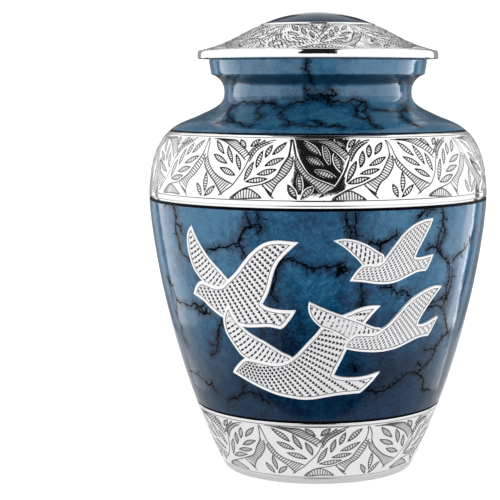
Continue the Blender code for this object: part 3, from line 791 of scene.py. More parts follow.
def enamelRing(name, cracks, value, material):
    # One closed ring of enamel; its outer rows follow the skin, its inner rows lie inside it
    shared, low, high = crackValues, value["low"], value["high"]
    rows = between(bodySkin, low, high, value["rowStep"])
    front, back = ringAngles(value["fineHalf"], value["fineStep"], value["coarseStep"])
    angles = np.concatenate([front, back[1:-1]])
    along = skinAlong(rows[:, 1])
    scale = radians(1.0) * float(rows[:, 0].mean())
    x, y = np.meshgrid(angles * scale, along)
    hidden = (value["fineHalf"] + 2.0, 358.0 - value["fineHalf"])
    margin = shared["walkMargin"]
    runs = cracks + wanderingCracks(value["backCracks"], value["seed"], low + margin, high - margin, hidden)
    rng = np.random.default_rng(value["seed"] + 100)
    flat = [ragged([(angle * scale, skinAlong(height)) for angle, height in run], rng) for run in runs]
    small = [twig for run in flat for twig in twigs(run, rng, value["twigs"])]
    toCrack, crackX, crackY = nearestOnRuns(x, y, flat, shared["reach"])
    toTwig, twigX, twigY = nearestOnRuns(x, y, small, shared["twigReach"])
    inside = (y > along[1]) & (y < along[-2])
    snap = (toCrack < shared["snap"] * value["rowStep"]) & inside
    twigSnap = (toTwig < shared["twigSnap"] * value["rowStep"]) & inside & ~snap
    twigSnap &= toCrack > shared["twigClear"] * value["rowStep"]
    x = np.where(snap, crackX, np.where(twigSnap, twigX, x))
    y = np.where(snap, crackY, np.where(twigSnap, twigY, y))
    toCrack = np.where(snap, 0.0, toCrack)
    toTwig = np.where(twigSnap, 0.0, toTwig)
    swell = 1.0
    for amount, across, upwards in shared["swell"]:
        swell = swell + amount * np.sin(x * across + y * upwards)
    crack = np.maximum(1.0 - toCrack / (shared["crackHalf"] * 2.0 * swell),
                       shared["twigInk"] - toTwig / (shared["twigHalf"] * 2.0))
    fromEdge = y - along[0]
    if value["topEdge"]:
        fromEdge = np.minimum(fromEdge, along[-1] - y)
    fromEdge = fromEdge / value["edge"]
    sink = -shared["grooveDepth"] * np.clip(1.0 - fromEdge, 0.0, 1.0)
    outer = onSkin(x / scale, y, sink, bodySkin)
    inner = onSkin(*np.meshgrid(angles, np.linspace(along[0], along[-1], shared["innerRows"])),
                   -shared["thick"], bodySkin)
    cloud = np.zeros(x.shape)
    for angle, height, size, amount in value["clouds"]:
        cloud += amount * np.exp(-((x - angle * scale) ** 2 + (y - skinAlong(height)) ** 2) / size ** 2)
    fields = {"vein": toCrack, "edge": np.clip(shared["grooveReach"] - fromEdge, 0.0, 1.0),
              "crack": np.clip(crack, 0.0, 1.0), "cloud": cloud}
    return sector(name, outer, inner, True, [material], shared["sharp"], fields)


bellyPiece = enamelRing("belly_enamel", bellyCracks, bellyValues, bellyEnamel)
neckPiece = enamelRing("neck_enamel", neckCracks, neckValues, neckEnamel)

print("leaf scroll")

# The leaf scroll in one repeat of 49 by 29, read left to right from a joint; y goes up
scrollValues = {
    "width": 49.0, "height": 29.0, "line": 0.36, "stroke": 0.32, "depth": 0.17, "strokeDepth": 0.15,
    "sunk": 0.06, "leafletHalf": 1.15, "leafletPower": 1.05, "leafletLean": 0.22, "leastReach": 0.2,
    "strokePitch": 1.25, "strokePast": 0.05, "stripPitch": 1.32, "stripShares": (0.02, 0.98),
    "leastStrip": 0.9, "wander": 0.35, "reach": 1.2,
}

# Slow waves of a band, x then y: (turns round the band, turn along, start, share)
wanderWaves = (
    ((7, 0.21, 1.3, 1.0), (17, -0.33, 0.4, 0.7)),
    ((9, 0.18, 2.1, 1.0), (19, 0.27, 5.0, 0.7)),
)


def smooth(points, per=4):
    # Catmull-Rom curve through the points
    p = np.asarray(points, dtype=float)
    if len(p) < 3:
        return p
    ends = np.vstack([2 * p[0] - p[1], p, 2 * p[-1] - p[-2]])
    t = np.linspace(0.0, 1.0, per, endpoint=False)[:, None]
    made = []
    for a, b, c, d in zip(ends[:-3], ends[1:-2], ends[2:-1], ends[3:]):
        made.append(0.5 * (2 * b + (c - a) * t + (2 * a - 5 * b + 4 * c - d) * t ** 2
                           + (3 * b - a - 3 * c + d) * t ** 3))
    return np.vstack(made + [p[-1:]])


def lengthOf(points):
    return np.linalg.norm(np.diff(points, axis=0), axis=1).sum()


def evenly(points, count):
    # Points evenly spaced along a run
    p = np.asarray(points, dtype=float)
    along = np.concatenate([[0.0], np.cumsum(np.linalg.norm(np.diff(p, axis=0), axis=1))])
    spots = np.linspace(0.0, along[-1], count)
    return np.column_stack([np.interp(spots, along, p[:, axis]) for axis in (0, 1)])


def leafletDrawing(start, end):
    # A pointed leaflet: half-width half * sin(pi s)^power along its axis, with strokes across
    value = scrollValues
    half, power = value["leafletHalf"], value["leafletPower"]
    start, end = np.asarray(start, dtype=float), np.asarray(end, dtype=float)
    along = end - start
    length = np.hypot(*along)
    side = np.array([-along[1], along[0]]) / length
    s = np.linspace(0.0, 1.0, 9)[:, None]
    bulge = half * np.sin(pi * s) ** power
    left, right = start + s * along + side * bulge, start + s * along - side * bulge
    strokes = []
    count = max(2, int(round(length / value["strokePitch"])))
    for step in range(1, count):
        share = step / count
        reach = half * sin(pi * share) ** power + value["strokePast"]
        if reach > value["leastReach"]:
            middle = start + share * along
            lean = along / length * value["leafletLean"]
            strokes.append(np.array([middle - side * reach - lean, middle + side * reach + lean]))
    return {"lines": [left, right], "strokes": strokes, "zone": np.vstack([left, right[::-1]])}


def stripDrawing(upper, lower):
    # A strip between two curves, with strokes across it
    value = scrollValues
    a, b = smooth(upper), smooth(lower)
    count = max(3, int(round(0.5 * (lengthOf(a) + lengthOf(b)) / value["stripPitch"])))
    first, second = evenly(a, count + 1), evenly(b, count + 1)
    strokes = []
    for p, q in zip(first[1:-1], second[1:-1]):
        if np.hypot(*(q - p)) > value["leastStrip"]:
            strokes.append(np.array([p + share * (q - p) for share in value["stripShares"]]))
    return {"lines": [a, b], "strokes": strokes, "zone": np.vstack([first, second[::-1]])}


def scrollDrawing():
    # The leaflets as (root, tip), the hatched strips between leaves, and the plain stems and leaf edges
    leaflets = [
        ((25.2, 8.2), (29.4, 17.4)), ((31.2, 14.6), (33.5, 22.7)), ((35.6, 19.5), (37.7, 25.8)),
        ((39.2, 20.9), (44.8, 27.2)), ((35.7, 15.6), (44.8, 19.5)), ((31.5, 11.4), (41.0, 13.9)),
        ((25.9, 7.5), (36.3, 9.6)), ((12.3, 20.2), (4.6, 27.2)), ((14.4, 15.6), (6.0, 19.9)),
        ((20.0, 10.3), (10.9, 13.9)), ((17.5, 16.0), (13.7, 24.8)), ((22.4, 12.8), (19.3, 20.6)),
        ((20.0, 28.7), (24.2, 24.4)), ((30.8, 29.0), (26.6, 24.8)),
        ((3.4, 3.0), (3.4, 12.1)), ((1.4, 0.8), (-2.0, 6.8)), ((3.5, 0.8), (9.5, 6.1)),
    ]
    leafEdge = [(47.3, 28.7), (47.6, 24.1), (46.9, 19.9), (44.1, 15.6), (40.6, 10.7), (33.6, 6.8),
                (25.2, 4.7), (19.6, 1.9), (18.2, 0.5)]
    strips = [
        ([(1.4, 20.6), (3.5, 17.0), (7.0, 12.8), (11.2, 10.0), (18.9, 6.8)],
         [(0.7, 18.6), (1.7, 15.2), (5.4, 11.0), (9.6, 7.2), (12.6, 3.8), (13.8, 2.4)]),
        ([(47.6, 21.5), (46.9, 19.9), (44.1, 15.6), (40.6, 10.7), (34.0, 6.9)],
         [(49.0, 20.4), (48.5, 15.6), (45.3, 10.9), (41.3, 7.4), (39.0, 3.0)]),
        ([(25.6, 20.6), (28.0, 24.1), (30.8, 26.5), (33.3, 28.6)],
         [(27.0, 17.6), (29.9, 22.4), (33.3, 25.2), (37.2, 27.4)]),
        ([(8.0, 28.8), (16.8, 28.6), (20.3, 26.4), (23.9, 23.6), (27.0, 20.6)],
         [(1.4, 28.7), (9.8, 27.4), (16.1, 24.7), (21.0, 21.4), (24.5, 18.2)]),
        ([(18.9, 0.5), (23.1, 3.7), (27.3, 4.4), (31.5, 2.3), (34.0, 0.5)],
         [(18.9, 0.4), (22.5, 0.4), (26.5, 0.4), (30.5, 0.4), (34.0, 0.4)]),
        ([(34.0, 6.1), (36.0, 4.6), (39.2, 2.3)], [(34.0, 6.5), (37.5, 2.6), (39.9, 0.5)]),
    ]
    stems = [
        [(-1.05, 28.3), (0.35, 24.8), (1.4, 20.6)],
        [(12.3, 1.9), (16.0, 4.4), (19.6, 6.5), (23.8, 12.1), (26.3, 18.1), (28.7, 23.4), (32.2, 26.2),
         (35.7, 28.0), (38.5, 28.7)],
        leafEdge,
    ]
    parts = [leafletDrawing(*one) for one in leaflets] + [stripDrawing(*one) for one in strips]
    return parts, [smooth(run) for run in stems]


def wandered(points, repeat, repeats, value):
    # A run of the drawing at one repeat, moved by waves that close once round the band, so that no two
    # leaves are quite alike
    p = np.asarray(points) + (repeat * value["width"], 0.0)
    x, y = p.T
    turn = 2 * pi / (repeats * value["width"])
    moves = []
    for waves in wanderWaves:
        moves.append(sum(share * np.sin(turn * x * around + y * along + start)
                         for around, along, start, share in waves))
    return p + value["wander"] * np.column_stack(moves)


def insideMask(x, y, ring):
    # Even-odd rule for every grid point at once
    inside = np.zeros(x.shape, dtype=bool)
    for (ax, ay), (bx, by) in zip(ring, np.roll(ring, -1, axis=0)):
        if ay != by:
            inside ^= ((ay > y) != (by > y)) & (x < ax + (y - ay) / (by - ay) * (bx - ax))
    return inside


def drawScroll(x, y, repeats, value):
    # Nearest line and nearest stroke of the scroll for every grid point, and where it lies in a cut zone
    parts, stems = scrollShape
    lines, strokes, zones = [], [], []
    start, end = np.floor(x.min() / value["width"]) - 1, np.ceil(x.max() / value["width"]) + 1
    for repeat in range(int(start), int(end)):
        for part in parts:
            lines += [wandered(run, repeat, repeats, value) for run in part["lines"]]
            strokes += [wandered(run, repeat, repeats, value) for run in part["strokes"]]
            zones.append(wandered(part["zone"], repeat, repeats, value))
        lines += [wandered(run, repeat, repeats, value) for run in stems]
    cut = np.zeros(x.shape)
    for ring in zones:
        block = blockAround(x, y, ring.min(axis=0), ring.max(axis=0))
        if block:
            cut[block] = np.maximum(cut[block], insideMask(x[block], y[block], ring))
    reach = value["reach"]
    return nearestOnRuns(x, y, lines, reach), nearestOnRuns(x, y, strokes, reach), cut


# Shares are of a grid cell for snap and clear, and of a line's half width for spread
reliefValues = {
    "snap": 0.48, "strokeSnap": 0.42, "clear": 0.8, "spread": 1.15,
    "crackBlackAndCutShade": 1.3, "strokeShade": 0.9, "ringShade": 1.4, "innerRows": 8,
}


def reliefBand(name, columns, leafRows, plainBelow, plainAbove, value, profile, scroll, rings, wrap, metal):
    # Leaf rows carry the scroll; plain rows below and above them are polished strips with ring lines
    shared = reliefValues
    lengths = outlineData(profile)[0]
    low, high = leafRows[0], leafRows[-1]
    first, repeats = value["first"], value["repeats"]
    x, y = np.meshgrid((columns - first) / 360.0 * repeats * scroll["width"],
                       (leafRows - low) / (high - low) * scroll["height"])
    (toLine, lineX, lineY), (toStroke, strokeX, strokeY), cut = drawScroll(x, y, repeats, scroll)
    cell = np.minimum(np.gradient(x[0])[None, :], np.median(np.diff(y[:, 0])))
    inner = (y > y[1, 0]) & (y < y[-2, 0])
    onLine = (toLine < shared["snap"] * cell) & inner
    onStroke = (toStroke < shared["strokeSnap"] * cell) & inner & ~onLine & (toLine > shared["clear"] * cell)
    x = np.where(onLine, lineX, np.where(onStroke, strokeX, x))
    y = np.where(onLine, lineY, np.where(onStroke, strokeY, y))
    toLine, toStroke = np.where(onLine, 0.0, toLine), np.where(onStroke, 0.0, toStroke)
    line = np.clip(1.0 - toLine / (scroll["line"] * shared["spread"]), 0.0, 1.0)
    stroke = np.clip(1.0 - toStroke / (scroll["stroke"] * shared["spread"]), 0.0, 1.0)
    lift = -scroll["sunk"] * cut - scroll["depth"] * line - scroll["strokeDepth"] * stroke
    # Painted shade: lines, strokes and ring lines are darkened where they are cut
    crackBlackAndCutShade = np.clip(shared["crackBlackAndCutShade"] * np.maximum(line, shared["strokeShade"] * stroke), 0.0, 1.0)
    leafBlock = (x / (repeats * scroll["width"]) * 360.0 + first, y / scroll["height"] * (high - low) + low,
                 lift, crackBlackAndCutShade, cut)
    blocks = [plainBlock(columns, plainBelow), leafBlock, plainBlock(columns, plainAbove)]
    angle, along, lift, crackBlackAndCutShade, cut = [np.vstack(fields) for fields in zip(*blocks)]
    for spot, half, depth in rings:
        share = np.clip(1.0 - np.abs(along - spot) / half, 0.0, 1.0)
        lift = np.minimum(lift, -depth * share)
        crackBlackAndCutShade = np.maximum(crackBlackAndCutShade, np.clip(shared["ringShade"] * share, 0.0, 1.0))
    outer = onSkin(angle, along, lift, profile)
    innerAlong = np.linspace(along[0].min(), along[-1].max(), shared["innerRows"])
    inner = onSkin(*np.meshgrid(columns, innerAlong), -value["thick"], profile)
    across = np.radians(angle) * np.interp(along, lengths, profile[:, 0]).mean()
    fields = {"crackBlackAndCutShade": crackBlackAndCutShade, "engraved": cut, "across": across, "along": along}
    return sector(name, outer, inner, wrap, [metal], 0.0, fields)


def plainBlock(columns, rows):
    # Angle and arc length of a plain strip's grid, with no lift, painted cut shade or engraving
    angle, along = np.meshgrid(columns, rows)
    return (angle, along) + 3 * (np.zeros(angle.shape),)


# Rings are lines cut round the urn: (height, half width, depth)
upperValues = {
    "low": 144.05, "bottom": 147.8, "top": 176.5, "high": 178.3, "repeats": 11, "first": -7.8, "thick": 0.75,
    "frontHalf": 84.0, "fineHalf": 57.0, "fineStep": 0.205, "coarseStep": 0.38, "rowStep": 0.285,
    "rings": ((147.5, 0.28, 0.2), (177.15, 0.28, 0.2)),
}
lowerValues = {
    "low": 4.2, "bottom": 4.6, "top": 32.4, "high": 34.5, "repeats": 7, "first": -26.5, "thick": 0.75,
    "frontHalf": 84.0, "fineHalf": 60.0, "fineStep": 0.32, "coarseStep": 0.50, "rowStep": 0.30,
    "rings": ((33.0, 0.28, 0.2),),
}


def buildBand(prefix, value, metal):
    # A band in two closed sectors, one in front and one behind
    edge, low, high, end = [skinAlong(value[key]) for key in ("low", "bottom", "top", "high")]
    leafRows = np.linspace(low, high, int(round((high - low) / value["rowStep"])) + 1)
    rings = [(skinAlong(height), half, depth) for height, half, depth in value["rings"]]
    below, above = plainRows(edge, low, rings), plainRows(high, end, rings)
    sectors = ringAngles(value["frontHalf"], value["fineStep"], value["coarseStep"], value["fineHalf"])
    return [reliefBand(prefix + label, columns, leafRows, below, above, value, bodySkin, scrollValues, rings,
                       False, metal) for label, columns in zip(("_front", "_back"), sectors)]


def plainRows(start, end, rings):
    # Rows across a plain strip: six even ones, and five over each ring line in it
    rows = set(np.round(np.linspace(start, end, 6), 4))
    for spot, half, _ in rings:
        rows.update(round(float(spot + share * half), 4) for share in (-1.0, -0.5, 0.0, 0.5, 1.0))
    return np.array(sorted(one for one in rows if start - 1e-6 <= one <= end + 1e-6))


scrollShape = scrollDrawing()
upperPieces = buildBand("upper_leaf_band", upperValues, upperMetal)
lowerPieces = buildBand("lower_leaf_band", lowerValues, lowerMetal)

print("doves")

doveValues = {
    "step": 0.24, "blockCells": 6, "margin": 3, "outlineStep": 0.5, "root": -0.7, "sharp": 55.0,
    "round": 0.45, "edgeDrop": 0.18, "groove": 0.34, "grooveSpread": 1.1, "grooveDepth": 0.18,
    "grooveShade": 0.8, "fieldEdge": 0.3, "fieldDrop": 0.06, "pit": 0.26, "pitEdge": 2.2, "pitShade": 2.2,
    "pitMargin": 0.4,
    "farBorder": 0.8, "dashLean": 0.25, "dashSpread": (1.25, 1.15), "pitLean": 0.5, "pitSpread": (1.15, 1.5),
    "barPitch": 2.4, "barHalf": 0.40, "barSpread": 1.2, "barBend": (0.02, 0.35), "barGap": (1.25, 1.1, 3.0),
}

# Each dove's outlines are stretches between corners, in (angle, height): a stretch starts where the one
# before it ends, and the front one closes at the beak. Rays give the far point of its rows of punches,
# measured from the beak, and a mark is (half length, half width)
doves = {
    "left": {
        "lift": 0.62, "farLift": 0.36, "border": 1.8, "rays": (-28.6, 95),
        "rowSpacing": 2.75, "markSpacing": 1.8, "mark": (0.68, 0.68), "dash": False,
        "front": [
            [(-46.5, 102.3), (-44.75, 104.8), (-42.75, 106), (-40, 105.3), (-37, 104.3), (-34, 104.8),
             (-31.75, 107.3), (-28, 111.8), (-25.5, 116), (-23, 120.2), (-20.5, 123.7), (-18, 126.4),
             (-15.5, 127.9), (-12.5, 128.5), (-9.5, 128.25), (-6, 127.8)],
            [(-8, 125), (-10.5, 121.4), (-12.5, 118.1), (-13.9, 114.3), (-14.9, 110.2), (-15.75, 106),
             (-16.9, 101.7), (-18.9, 96.8)],
            [(-17.25, 95.4), (-14.5, 94.5), (-11, 94.2), (-7.4, 94.3)],
            [(-8.25, 92), (-10, 88.5), (-11.6, 85.8), (-13, 84.5)],
            [(-17, 85.4), (-21, 85), (-26, 84.6), (-30.5, 85.8), (-35, 88.3), (-38, 90.4), (-41, 93.3),
             (-43.5, 96), (-45.75, 97.5), (-48.1, 98.7)],
        ],
        "far": [
            [(-43, 106.5), (-45.75, 111), (-47, 115.2), (-47.65, 119.3), (-47.85, 123.5), (-47.5, 127.7),
             (-46.5, 131), (-44.6, 133.8)],
            [(-43.5, 129.8), (-42, 126), (-40, 121.8), (-37.5, 117.3), (-35, 113.9), (-33, 111),
             (-31, 107.2), (-33, 102.5)],
            [(-38.5, 101)],
        ],
    },
    "centre": {
        "lift": 1.02, "farLift": 0.84, "border": 1.6, "rays": (2, 32),
        "rowSpacing": 2.45, "markSpacing": 1.75, "mark": (0.66, 0.64), "dash": False,
        "front": [
            [(-33.25, 62.7), (-31.25, 65.3), (-29.25, 67.5), (-27.5, 68.5), (-23.5, 68.1), (-19.5, 67.25),
             (-15.5, 66.8), (-12.5, 67.7), (-9.5, 70), (-7, 73.1), (-4, 77.7), (-1, 82.25), (0.75, 85.4),
             (3, 88.5), (6.5, 91), (10, 92.8), (13, 94.6), (16, 95.8), (19, 96.2), (21.5, 96)],
            [(20, 93.9), (18.5, 91.4), (17, 88.7), (14.5, 83.5), (12.2, 78.5), (10, 73.5), (8.9, 69.75),
             (7.5, 65.8), (6, 61.3)],
            [(8, 60.3), (12, 59.6), (17, 59.75), (21, 60.8), (24.25, 62)],
            [(23, 59.75), (21, 56.4), (18.5, 53.1), (16.75, 51.25)],
            [(12.5, 51), (8, 50.6), (3, 49.6), (-2, 48.5), (-6.5, 48.3), (-11.5, 49.1), (-16.5, 50.3),
             (-21.5, 52.5), (-26.5, 55.2), (-31.5, 58.3), (-34.7, 60.2)],
        ],
        "far": [
            [(-28.75, 69), (-30.5, 71.4), (-32, 74.3), (-33.5, 77.7), (-34.75, 81), (-35.15, 85.2),
             (-34.9, 88.5), (-33.8, 92), (-31.75, 96.4)],
            [(-31, 91.8), (-29.5, 88), (-27.5, 84.9), (-25, 82), (-22.5, 80), (-19, 77.6), (-16, 75.1),
             (-13, 72.6), (-9.5, 70), (-11.5, 65.5)],
            [(-22, 64.5)],
        ],
    },
    "right": {
        "lift": 1.38, "farLift": 1.18, "border": 1.25, "rays": (-13, 60),
        "rowSpacing": 2, "markSpacing": 1.3, "mark": (0.28, 0.56), "dash": True,
        "front": [
            [(9.75, 78.1), (11.2, 80.4), (13, 82), (15.5, 82.3), (18.5, 82), (20.8, 82.4), (23, 84.5),
             (25.25, 86.7), (28, 90.8), (30.5, 94.75), (33, 98.1), (36, 100.6), (39.5, 102.7), (43, 103.7),
             (46.5, 103.25)],
            [(44.5, 100.3), (42.5, 97), (40.75, 93.7), (39.1, 90.3), (37.85, 87.2), (37.35, 84.9)],
            [(39.5, 84.6), (42, 85.3), (44.5, 86.7), (47.1, 87.7)],
            [(45.9, 83.9), (44.6, 80.2), (43.6, 78.1)],
            [(40.5, 78.1), (37.5, 77.4), (34.5, 76), (31, 74.2), (27.5, 73.1), (23, 72.5), (18, 72.8),
             (13, 73.8), (8.9, 75.2)],
        ],
        "far": [
            [(10, 79.6), (7, 82.2), (4, 84.3), (1, 86), (-1.5, 89.2), (-2.9, 92.7), (-3.25, 96),
             (-3, 98.7)],
            [(2, 95.3), (5, 93.5), (8, 91.9), (13, 89.4), (17, 86.9), (20, 85.2), (22.5, 84.2), (21, 79.5)],
            [(12.5, 77.5)],
        ],
    },
    "upper": {
        "lift": 0.62, "farLift": 0.36, "border": 1.25, "rays": (-10, 62),
        "rowSpacing": 1.95, "markSpacing": 1.3, "mark": (0.28, 0.56), "dash": True,
        "front": [
            [(11.1, 110.7), (12, 112.8), (13.2, 115), (14.5, 116.5), (16.5, 116.8), (19, 116.6),
             (20.8, 117.6), (21.9, 119.8), (23.5, 123.1), (25.25, 126.4), (27, 129.75), (29, 132.7),
             (31.5, 135.2), (34, 136.7), (36.5, 137.5), (39.1, 137.8)],
            [(38.25, 134.3), (36.75, 130.2), (35.25, 126), (34, 122.7), (33, 119)],
            [(35, 118.75), (37.5, 119.2), (39.5, 119.6), (40.6, 119.8)],
            [(39.9, 116.8), (39, 113.9), (38, 111.7)],
            [(36, 111.8), (34, 111.4), (32, 110.3), (29.5, 108.9), (27, 107.5), (24, 106.7), (21, 106.7),
             (18, 107.2), (14.5, 108.1), (10.15, 108.7)],
        ],
        "far": [
            [(13.9, 116.8), (12.75, 118.9), (11, 121.4), (9, 124.2), (7, 126.4), (4.75, 128.5)],
            [(7, 129.3), (9.5, 129.3), (12.5, 128.3), (15.5, 126.4), (18, 124.2), (20, 122.25),
             (21.6, 120.3), (21, 114.5)],
            [(15.5, 113)],
        ],
    },
}


def doveRing(beak, stretches, radius):
    # A closed outline in flat millimetres from the beak: arc on the belly, and height
    start = stretches[-1][-1]
    made = []
    for stretch in stretches:
        flat = [(radians(angle - beak[0]) * radius, height - beak[1]) for angle, height in [start] + stretch]
        curve = smooth(flat, 6)
        made.append(evenly(curve, max(2, int(round(lengthOf(curve) / doveValues["outlineStep"])) + 1))[:-1])
        start = stretch[-1]
    return np.vstack(made)


def signedDistance(x, y, ring):
    # Distance to a closed outline, positive inside, and the nearest point on it
    best = [np.full(x.shape, 1e9), x.copy(), y.copy()]
    for start, end in zip(ring, np.roll(ring, -1, axis=0)):
        keepNearer(best, slice(None), towards(x, y, start, end))
    return np.where(insideMask(x, y, ring), best[0], -best[0]), best[1], best[2]


def punches(x, y, dove):
    # Marks along rays from a far point: every other row is shifted by half a step
    value = doveValues
    rowSpacing, markSpacing = dove["rowSpacing"], dove["markSpacing"]
    halfAlong, halfAcross = dove["mark"]
    dx, dy = x - dove["rays"][0], y - dove["rays"][1]
    away = np.hypot(dx, dy)
    mean = float(np.median(away))
    row = np.arctan2(dy, dx) * mean / rowSpacing
    number = np.round(row)
    across = (row - number) * rowSpacing * away / mean
    spot = away / markSpacing + 0.5 * (number % 2)
    along = (spot - np.round(spot)) * markSpacing
    if dove["dash"]:
        long, wide = value["dashSpread"]
        return 1.0 - np.maximum(np.abs(along + value["dashLean"] * across) / (halfAlong * long),
                                np.abs(across) / (halfAcross * wide))
    long, wide = value["pitSpread"]
    return 1.0 - np.maximum((np.abs(across) + value["pitLean"] * (along + halfAlong)) / (halfAcross * wide),
                            np.abs(along) / (halfAlong * long))


def bars(x, y, ring):
    # Broken bars across a wing, at even steps along the line from its tip to its root
    value = doveValues
    tip = ring[np.argmax(np.hypot(*(ring - ring.mean(axis=0)).T))]
    way = ring.mean(axis=0) - tip
    way = way / np.hypot(*way)
    dx, dy = x - tip[0], y - tip[1]
    along, across = dx * way[0] + dy * way[1], dy * way[0] - dx * way[1]
    curl, lean = value["barBend"]
    bent = (along + curl * across ** 2 + lean * across) / value["barPitch"]
    spot = (bent - np.round(bent)) * value["barPitch"]
    often, shift, sharp = value["barGap"]
    gap = np.abs(np.sin(across * often + np.round(bent) * shift))
    bar = 1.0 - np.abs(spot) / (value["barHalf"] * value["barSpread"])
    return bar * np.clip(gap * sharp - 1.0, 0.0, 1.0)


def dovePlate(name, dove, stretches, lift, farWing):
    # A plate in the shape of its outline, bent to the belly: rim, groove and punched field
    value, step = doveValues, doveValues["step"]
    beak = dove["front"][-1][-1]
    radius = float(np.interp(beak[1], bodySkin[:, 1], bodySkin[:, 0]))
    ring = doveRing(beak, stretches, radius)
    margin = value["margin"] * step
    x, y = np.meshgrid(*[np.arange(low - margin, high + margin, step)
                         for low, high in zip(ring.min(axis=0), ring.max(axis=0))])
    inside, nearX, nearY = signedDistance(x, y, ring)
    snap = np.abs(inside) <= 0.5 * step
    x, y = np.where(snap, nearX, x), np.where(snap, nearY, y)
    depth = np.where(snap, 0.0, inside)
    border = dove["border"] * (value["farBorder"] if farWing else 1.0)
    corner = 1.0 - np.clip(depth / value["round"], 0.0, 1.0)
    field = np.clip((depth - border) / value["fieldEdge"], 0.0, 1.0)
    groove = np.clip(1.0 - np.abs(depth - border) / value["groove"] / value["grooveSpread"], 0.0, 1.0)
    pits = bars(x, y, ring) if farWing else punches(x, y, dove)
    pits = np.clip(pits * value["pitEdge"], 0.0, 1.0) * (depth > border + value["pitMargin"])
    height = lift - value["edgeDrop"] * corner ** 2
    height = height - value["fieldDrop"] * field - value["grooveDepth"] * groove - value["pit"] * pits
    # Painted shade in the groove and the punches
    crackBlackAndCutShade = np.clip(np.maximum(value["grooveShade"] * groove, value["pitShade"] * pits), 0.0, 1.0)
    angle, along = beak[0] + np.degrees(x / radius), skinAlong(y + beak[1])
    top = onSkin(angle, along, height, bodySkin)
    bottom = onSkin(angle, along, np.full(x.shape, value["root"]), bodySkin)
    return plateMesh(name, top, bottom, inside > -0.5 * step, {"crackBlackAndCutShade": crackBlackAndCutShade, "engraved": field})


def plateMesh(name, top, bottom, keep, fields):
    # The kept cells of a grid as the top, large faces below, and a skirt round the rim
    used = np.zeros(keep.size, dtype=bool)
    cellKeep = keep[:-1, :-1] & keep[1:, :-1] & keep[:-1, 1:] & keep[1:, 1:]
    index = np.arange(keep.size).reshape(keep.shape)
    cells = np.stack([index[:-1, :-1], index[:-1, 1:], index[1:, 1:], index[1:, :-1]], axis=-1)
    used[cells[cellKeep].ravel()] = True
    number = np.cumsum(used) - 1
    count = int(used.sum())
    quads = number[cells[cellKeep]]
    wide, single = wideFaces(index, cellKeep, doveValues["blockCells"])
    wide, small = number[wide][:, ::-1], number[cells[single]]
    below = np.unique(np.concatenate([wide.ravel(), small.ravel()]))
    belowNumber = np.zeros(count, dtype=int)
    belowNumber[below] = np.arange(len(below)) + count
    edges = np.concatenate([quads[:, [0, 1]], quads[:, [1, 2]], quads[:, [2, 3]], quads[:, [3, 0]]])
    rim = edges[~np.isin(edges[:, 0] * count + edges[:, 1], edges[:, 1] * count + edges[:, 0])]
    skirt = np.stack([rim[:, 1], rim[:, 0], belowNumber[rim[:, 0]], belowNumber[rim[:, 1]]], axis=-1)
    faces = np.vstack([quads, belowNumber[small][:, ::-1], skirt])
    points = np.vstack([top.reshape(-1, 3)[used], bottom.reshape(-1, 3)[used][below]])
    plain = np.zeros(len(below))
    values = {label: np.concatenate([field.ravel()[used], plain]) for label, field in fields.items()}
    return meshFrom(name, points, faces, values, [doveMetal], doveValues["sharp"], belowNumber[wide])


def wideFaces(index, cellKeep, size):
    # Whole blocks of kept cells become one face round their border; the other kept cells stay single
    rows, columns = (np.array(cellKeep.shape) // size) * size
    blocks = cellKeep[:rows, :columns].reshape(rows // size, size, columns // size, size).all(axis=(1, 3))
    low, left = np.nonzero(blocks)
    run = np.arange(size)
    zero, full = np.zeros(size, dtype=int), np.full(size, size)
    down = np.concatenate([zero, run, full, size - run])
    over = np.concatenate([run, full, size - run, zero])
    wide = index[low[:, None] * size + down, left[:, None] * size + over]
    single = cellKeep.copy()
    single[:rows, :columns] &= ~np.kron(blocks, np.ones((size, size), dtype=bool))
    return wide, single


dovePieces = []
for label, dove in doves.items():
    dovePieces.append(dovePlate("dove_" + label + "_far_wing", dove, dove["far"], dove["farLift"], True))
    dovePieces.append(dovePlate("dove_" + label, dove, dove["front"], dove["lift"], False))

print("lid")

# Rim foot and handles are (out from the rim's radius, up from its bottom). Rings are as on the bands, but
# given by arc length up the slope, and a negative one from its top
lidValues = {
    "gap": 0.3, "rimRadius": 63.2, "rimFoot": ((-0.45, 0.0), (-0.1, 0.12), (0.0, 0.5), (-0.03, 1.9)),
    "rimHandles": ((-0.05, 3.9), (-0.7, 4.4)), "rimTop": (61.6, 220.0), "ledge": 0.1,
    "slopeBottom": (60.9, 220.15), "slopeTop": (30.2, 233.1), "slopeHandles": ((43.6, 224.8), (40.6, 229.3)),
    "bead": 0.75, "domeEdge": (28.9, 233.8), "domeFoot": (0.2, 0.25), "domeStart": 0.4, "height": 240.0,
    "wall": 2.8, "spigotClearance": 0.4, "spigotLength": 16.0, "spigotBevel": 0.3, "round": 0.6,
    "columns": 220, "bed": 0.75, "sharp": 30.0,
    "repeats": 6, "first": -30.0, "frontHalf": 90.0, "fineStep": 0.45, "coarseStep": 0.66, "rowStep": 0.33,
    "thick": 0.6, "plainBelow": 1.2, "plainAbove": 0.9, "belowRows": (0.15, 0.35, 0.55, 0.75, 0.95),
    "aboveRows": (0.75, 0.6, 0.45, 0.3, 0.15), "rings": ((0.55, 0.3, 0.2), (-0.45, 0.25, 0.2)),
    "scroll": {"line": 0.30, "stroke": 0.24, "depth": 0.13},
}


def slopeOutline(rows):
    value = lidValues
    return bezier(value["slopeBottom"], *value["slopeHandles"], value["slopeTop"], rows)


